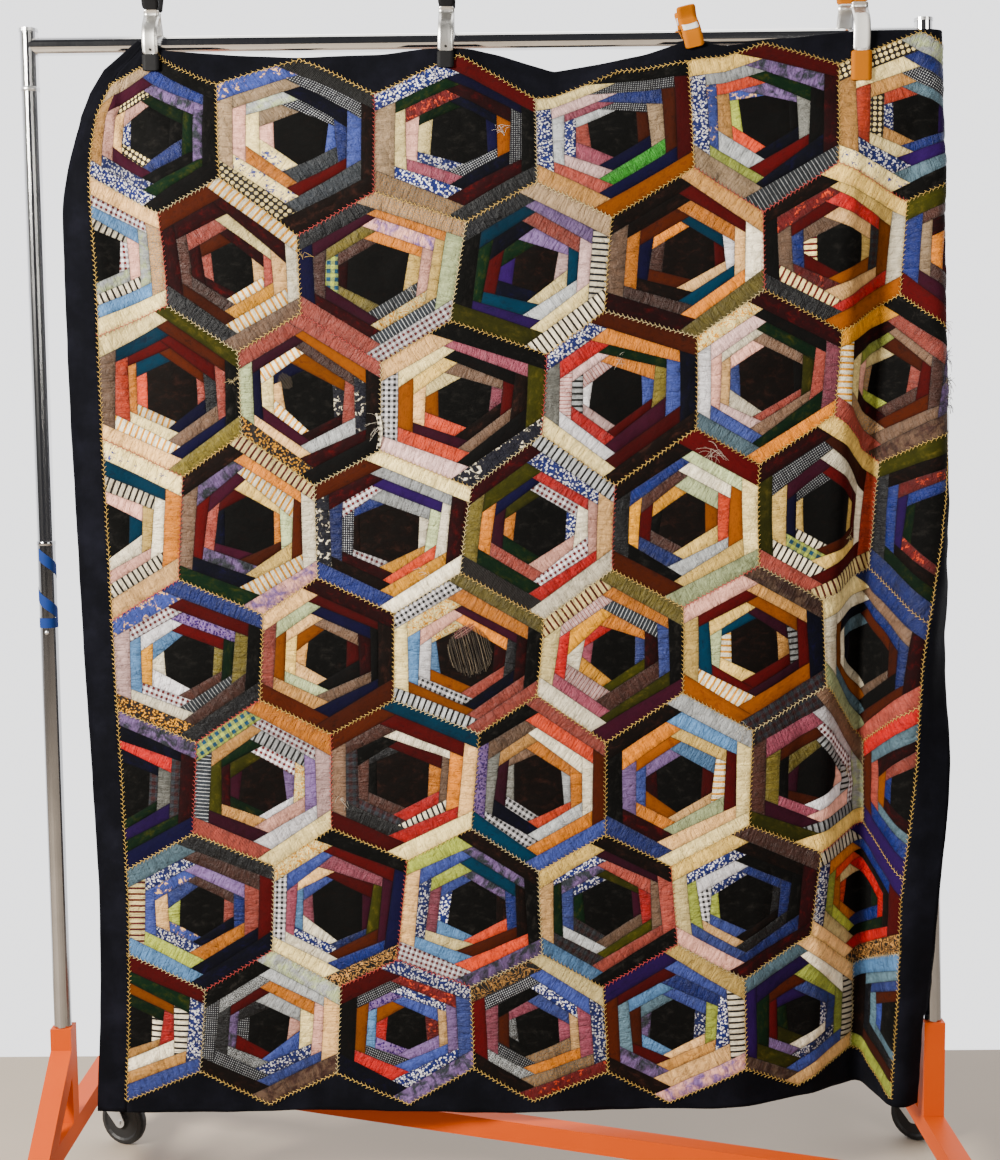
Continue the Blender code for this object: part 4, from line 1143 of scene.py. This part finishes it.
def circle(angle):
    return np.stack([np.cos(angle), np.sin(angle), 0 * angle], axis=-1)


def lathe(name, profile, place, mat, count=32):
    """Body turned about its own z axis from a profile of (radius, height)."""
    around = circle(np.arange(count) * CIRCLE / count)
    return loft(name, place, np.array([around * radius + (0, 0, height) for radius, height in profile]), mat)


def coil(name, place, radius, wire, length, turns, mat):
    t = np.linspace(0, 1, turns * 20 + 1)[:, None]
    out = circle(t[:, 0] * turns * CIRCLE)
    path = radius * out + np.array([0, 0, 1]) * (t - 0.5) * (length - 2 * wire)
    third = np.cross(unit(np.gradient(path, axis=0)), out)
    x, y, _ = wire * circle(np.arange(8) * CIRCLE / 8).T[..., None]
    return loft(name, place, path[:, None] + out[:, None] * x + third[:, None] * y, mat)


def clamp_turn(x, lean):
    """From upright at the middle of the rail to a clamp's place, leaning about the rail."""
    turn = Matrix.Translation((x, 0.0, RAIL_Z)) @ Matrix.Rotation(math.radians(-lean), 4, "Y")
    return turn @ Matrix.Translation((0.0, 0.0, -RAIL_Z))


def build_clamps(steel, black, orange, paper, dark):
    def take(piece, node=None):
        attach(piece, "stand")
        if node:
            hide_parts(node)

    def strip(node, *form):
        take(soft_strip(node + "_form", *form), node)

    for number, x, wide, pad, lean, shift, low, top in CLAMPS:
        name = "clamp_%d" % number
        front, rear = clamp_turn(x, lean), clamp_turn(x + shift, lean)
        grip = orange if number == 4 else black
        arm_front = [(-0.0262, top + 0.0003)] + STEEL_FRONT
        arm_rear = [(-0.0117, low + 0.0063), (0.004, low + 0.015)] + STEEL_REAR
        for label, sign, place, arm, crown, pad_y in (
            ("front", -1, front, arm_front, 0.0012, -0.0256),
            ("rear", 1, rear, arm_rear, 0.0, -0.0154),
        ):
            handle = [(PIN_Y + sign * y, z) for y, z in GRIP_RISE]
            strip(f"{name}_arm_{label}", arm, ARM_T, wide, place, steel, 0.0045, crown)
            strip(f"{name}_pad_{label}", [(pad_y, low), (pad_y, top)], PAD_T, pad, place, grip, 0.0035)
            strip(f"{name}_grip_{label}", handle, GRIP_T, wide + 0.002, place, grip, 0.0075)
        spot = front @ Matrix.Translation((0.0, PIN_Y, PIN_Z)) @ SIDEWAYS
        take(coil(name + "_spring", spot, 0.0041, 0.001, wide - 0.004, 6, steel), name + "_pin")
        take(lathe(name + "_pin_form", [(0.0021, -wide / 2), (0.0021, wide / 2)], spot, steel, 16))
        if number == 4:
            take(soft_strip(name + "_blank_label", BIG_LABEL, 0.0003, 0.0262, front, paper, 0.006, 0.0012))
        else:
            # the rivet hole is a dark disc on the arm: painted shade of the opening
            hole = front @ Matrix.Translation((0.0, -0.029, 2.09)) @ FORWARD
            take(lathe(name + "_hole", [(0.0021, -0.0008), (0.0021, 0.0008)], hole, dark, 20))
    place = clamp_turn(SMALL_X, SMALL_LEAN)
    strip("clamp_3_arm_front", SMALL_FRONT, SMALL_T, SMALL_WIDE, place, orange, 0.0045, 0.0006)
    strip("clamp_3_arm_rear", SMALL_REAR, SMALL_T, SMALL_WIDE, place, orange)
    take(soft_strip("clamp_3_blank_label", SMALL_LABEL, 0.0006, 0.027, place, paper, 0.002, 0.0006))


# ---- the rest of the rack

BUTTON_Z = 1.075
# name, height of its start and end, half width, turns
TAPES = (("spiral", 1.216, 1.1, 0.0112, 1.468), ("band", 1.092, 1.092, 0.0088, 1.0))


def build_rack_details(chrome, dull, tape):
    """Collars at the tube joints, spring buttons and the tape on the left upright."""
    pieces = []
    ring = [(TUBE_R, -0.004), (0.0166, -0.0036), (0.0166, 0.0036), (TUBE_R, 0.004)]
    dome = [(0.0038, 0.0), (0.0036, 0.0012), (0.0026, 0.0021), (0.001, 0.0026)]
    for side, mark in ((-1, "left"), (1, "right")):
        for z, label, mat in ((TUBE_JOINT, "joint", dull), (2.03, "upper", chrome)):
            place = Matrix.Translation((post_x(side, z), 0.0, z))
            pieces.append(lathe(f"collar_{label}_{mark}", ring, place, mat))
        place = Matrix.Translation((post_x(side, BUTTON_Z), -0.0155, BUTTON_Z)) @ FORWARD
        pieces.append(lathe("spring_button_" + mark, dome, place, chrome, 16))
    for label, start, end, half, turns in TAPES:
        t = np.linspace(0, 1, 65)[:, None]
        around = circle(turns * CIRCLE * t - 2.3) * (TUBE_R + 0.0004) + (-POST_X, 0, 0)
        verts = around + np.array([0, 0, 1]) * (lerp(start, end, t) + (half, -half))[..., None]
        faces = quads_of(np.arange(130).reshape(65, 2))[:, ::-1].tolist()
        pieces.append(new_object("tape_" + label, verts.reshape(-1, 3), faces, [tape]))
    for piece in pieces:
        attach(piece, "stand")


# name, colour, roughness, depth of its streaks
STEELS = (
    ("polished_chrome", (0.78, 0.78, 0.79), 0.06, 0.06),
    ("dulled_chrome", (0.4, 0.4, 0.41), 0.1, 0.06),
    ("satin_chrome", (0.66, 0.66, 0.67), 0.22, 0.1),
    ("zinc_plating", (0.6, 0.61, 0.62), 0.34, 0.15),
    ("clamp_nickel", (0.7, 0.69, 0.67), 0.26, 0.12),
)
# name, colour, roughness, specular level
RUBBERS = (
    ("black_rubber", (0.012, 0.012, 0.013), 0.5, 0.3),
    ("black_dip", (0.005, 0.005, 0.006), 0.66, 0.15),
    ("orange_dip", (0.36, 0.105, 0.0), 0.55, 0.05),
    ("blank_label", (0.62, 0.62, 0.61), 0.45, 0.3),
    # the dark disc of the rivet holes: painted shade
    ("painted_hole_shade", (0.01, 0.01, 0.01), 0.8, 0.3),
    ("blue_tape", (0.004, 0.022, 0.13), 0.7, 0.15),
)


def dress_frame():
    chrome, dull, satin, zinc, nickel = (steel_material(*row) for row in STEELS)
    black, black_grip, orange_grip, paper, dark, tape = (rubber_material(*row) for row in RUBBERS)
    paint = paint_material()
    build_clamps(nickel, black_grip, orange_grip, paper, dark)
    build_rack_details(satin, dull, tape)
    rules = (
        ("upright_cap", satin), ("upright_lower", dull), ("upright", chrome), ("hanging_rail", chrome),
        ("castor_wheel", black), ("castor", zinc), ("foot_bar", paint), ("socket_post", paint),
        ("brace", paint), ("cross_bar", paint), ("clamp_3_pin", satin),
    )
    for name, thing in list(bpy.data.objects.items()):
        chosen = [mat for start, mat in rules if name.startswith(start)]
        if "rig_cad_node" in thing and chosen:
            for slot in thing.material_slots:
                slot.material = chosen[0]


# ---- light, floor and camera

CAMERA_AT = (0.0346, -2.8845, 1.418)
YAW, PITCH, ROLL = 0.00719, 0.08892, -0.01004
FOCAL_PX, PHOTO_PX, SENSOR = 1612.8, 1160.0, 36.0
LAMP_COLOUR = (1.0, 0.96, 0.87)
# name, place, aim, size, power
LAMPS = (
    ("key", (-3.0, -2.5, 2.9), (0.1, 0.0, 1.1), 1.0, 575.0),
    ("fill", (2.4, -3.6, 2.6), (0.0, 0.0, 0.9), 1.8, 92.0),
    ("top", (0.0, 0.4, 4.2), (0.0, 0.0, 1.0), 2.2, 30.0),
)


def place_camera():
    data = bpy.data.cameras.new("camera")
    data.sensor_width = SENSOR
    data.lens = FOCAL_PX * SENSOR / PHOTO_PX
    data.clip_start = 0.05
    camera = link_object("camera", data)
    turn = Matrix.Rotation(YAW, 4, "Z") @ Matrix.Rotation(math.pi / 2 - PITCH, 4, "X")
    camera.matrix_world = Matrix.Translation(CAMERA_AT) @ turn @ Matrix.Rotation(ROLL, 4, "Z")
    bpy.context.scene.camera = camera


def place_lights():
    web = Web(bpy.data.worlds.new("studio"), "Background")
    bpy.context.scene.world = web.owner
    share = web.steps(web.split(web.place("Generated"))[1], -0.3, 0.35)
    web.feed(web.shader, {"Color": web.mix(share, (0.035, 0.035, 0.04, 1.0), (2.3, 2.3, 2.34, 1.0))})
    for name, where, aim, size, power in LAMPS:
        data = bpy.data.lights.new(name, "AREA")
        data.size, data.energy, data.color = size, power, LAMP_COLOUR
        lamp = link_object(name, data)
        lamp.location = where
        lamp.rotation_euler = (Vector(aim) - Vector(where)).to_track_quat("-Z", "Y").to_euler()


def place_floor():
    left, right, front, back = -9.0, 9.0, -9.0, 0.725
    web = new_web("floor_pale")
    cloud = web.noise(web.place(), 2.0, 4.0)
    pale = web.finish(web.mix(cloud, (0.28, 0.23, 0.18, 1.0), (0.34, 0.28, 0.22, 1.0)), 0.7)
    edges = [(left, front, 0), (right, front, 0), (right, back, 0), (left, back, 0)]
    new_object("floor", edges, [[0, 1, 2, 3]], [pale], smooth=False)


place_camera()
place_lights()
place_floor()
sheets = build_cloth()
scraps = build_field()
stitches = build_stitches()
dress_frame()
for piece in list(sheets.values()) + scraps + stitches:
    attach(piece, "stand")
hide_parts("quilt_field")
for side in ("top", "bottom", "left", "right"):
    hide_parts("border_" + side)
clamped = ["clamp_1_pad_front_form", "clamp_2_pad_front_form", "clamp_4_pad_front_form"]
clamped = [bpy.data.objects[name] for name in clamped]
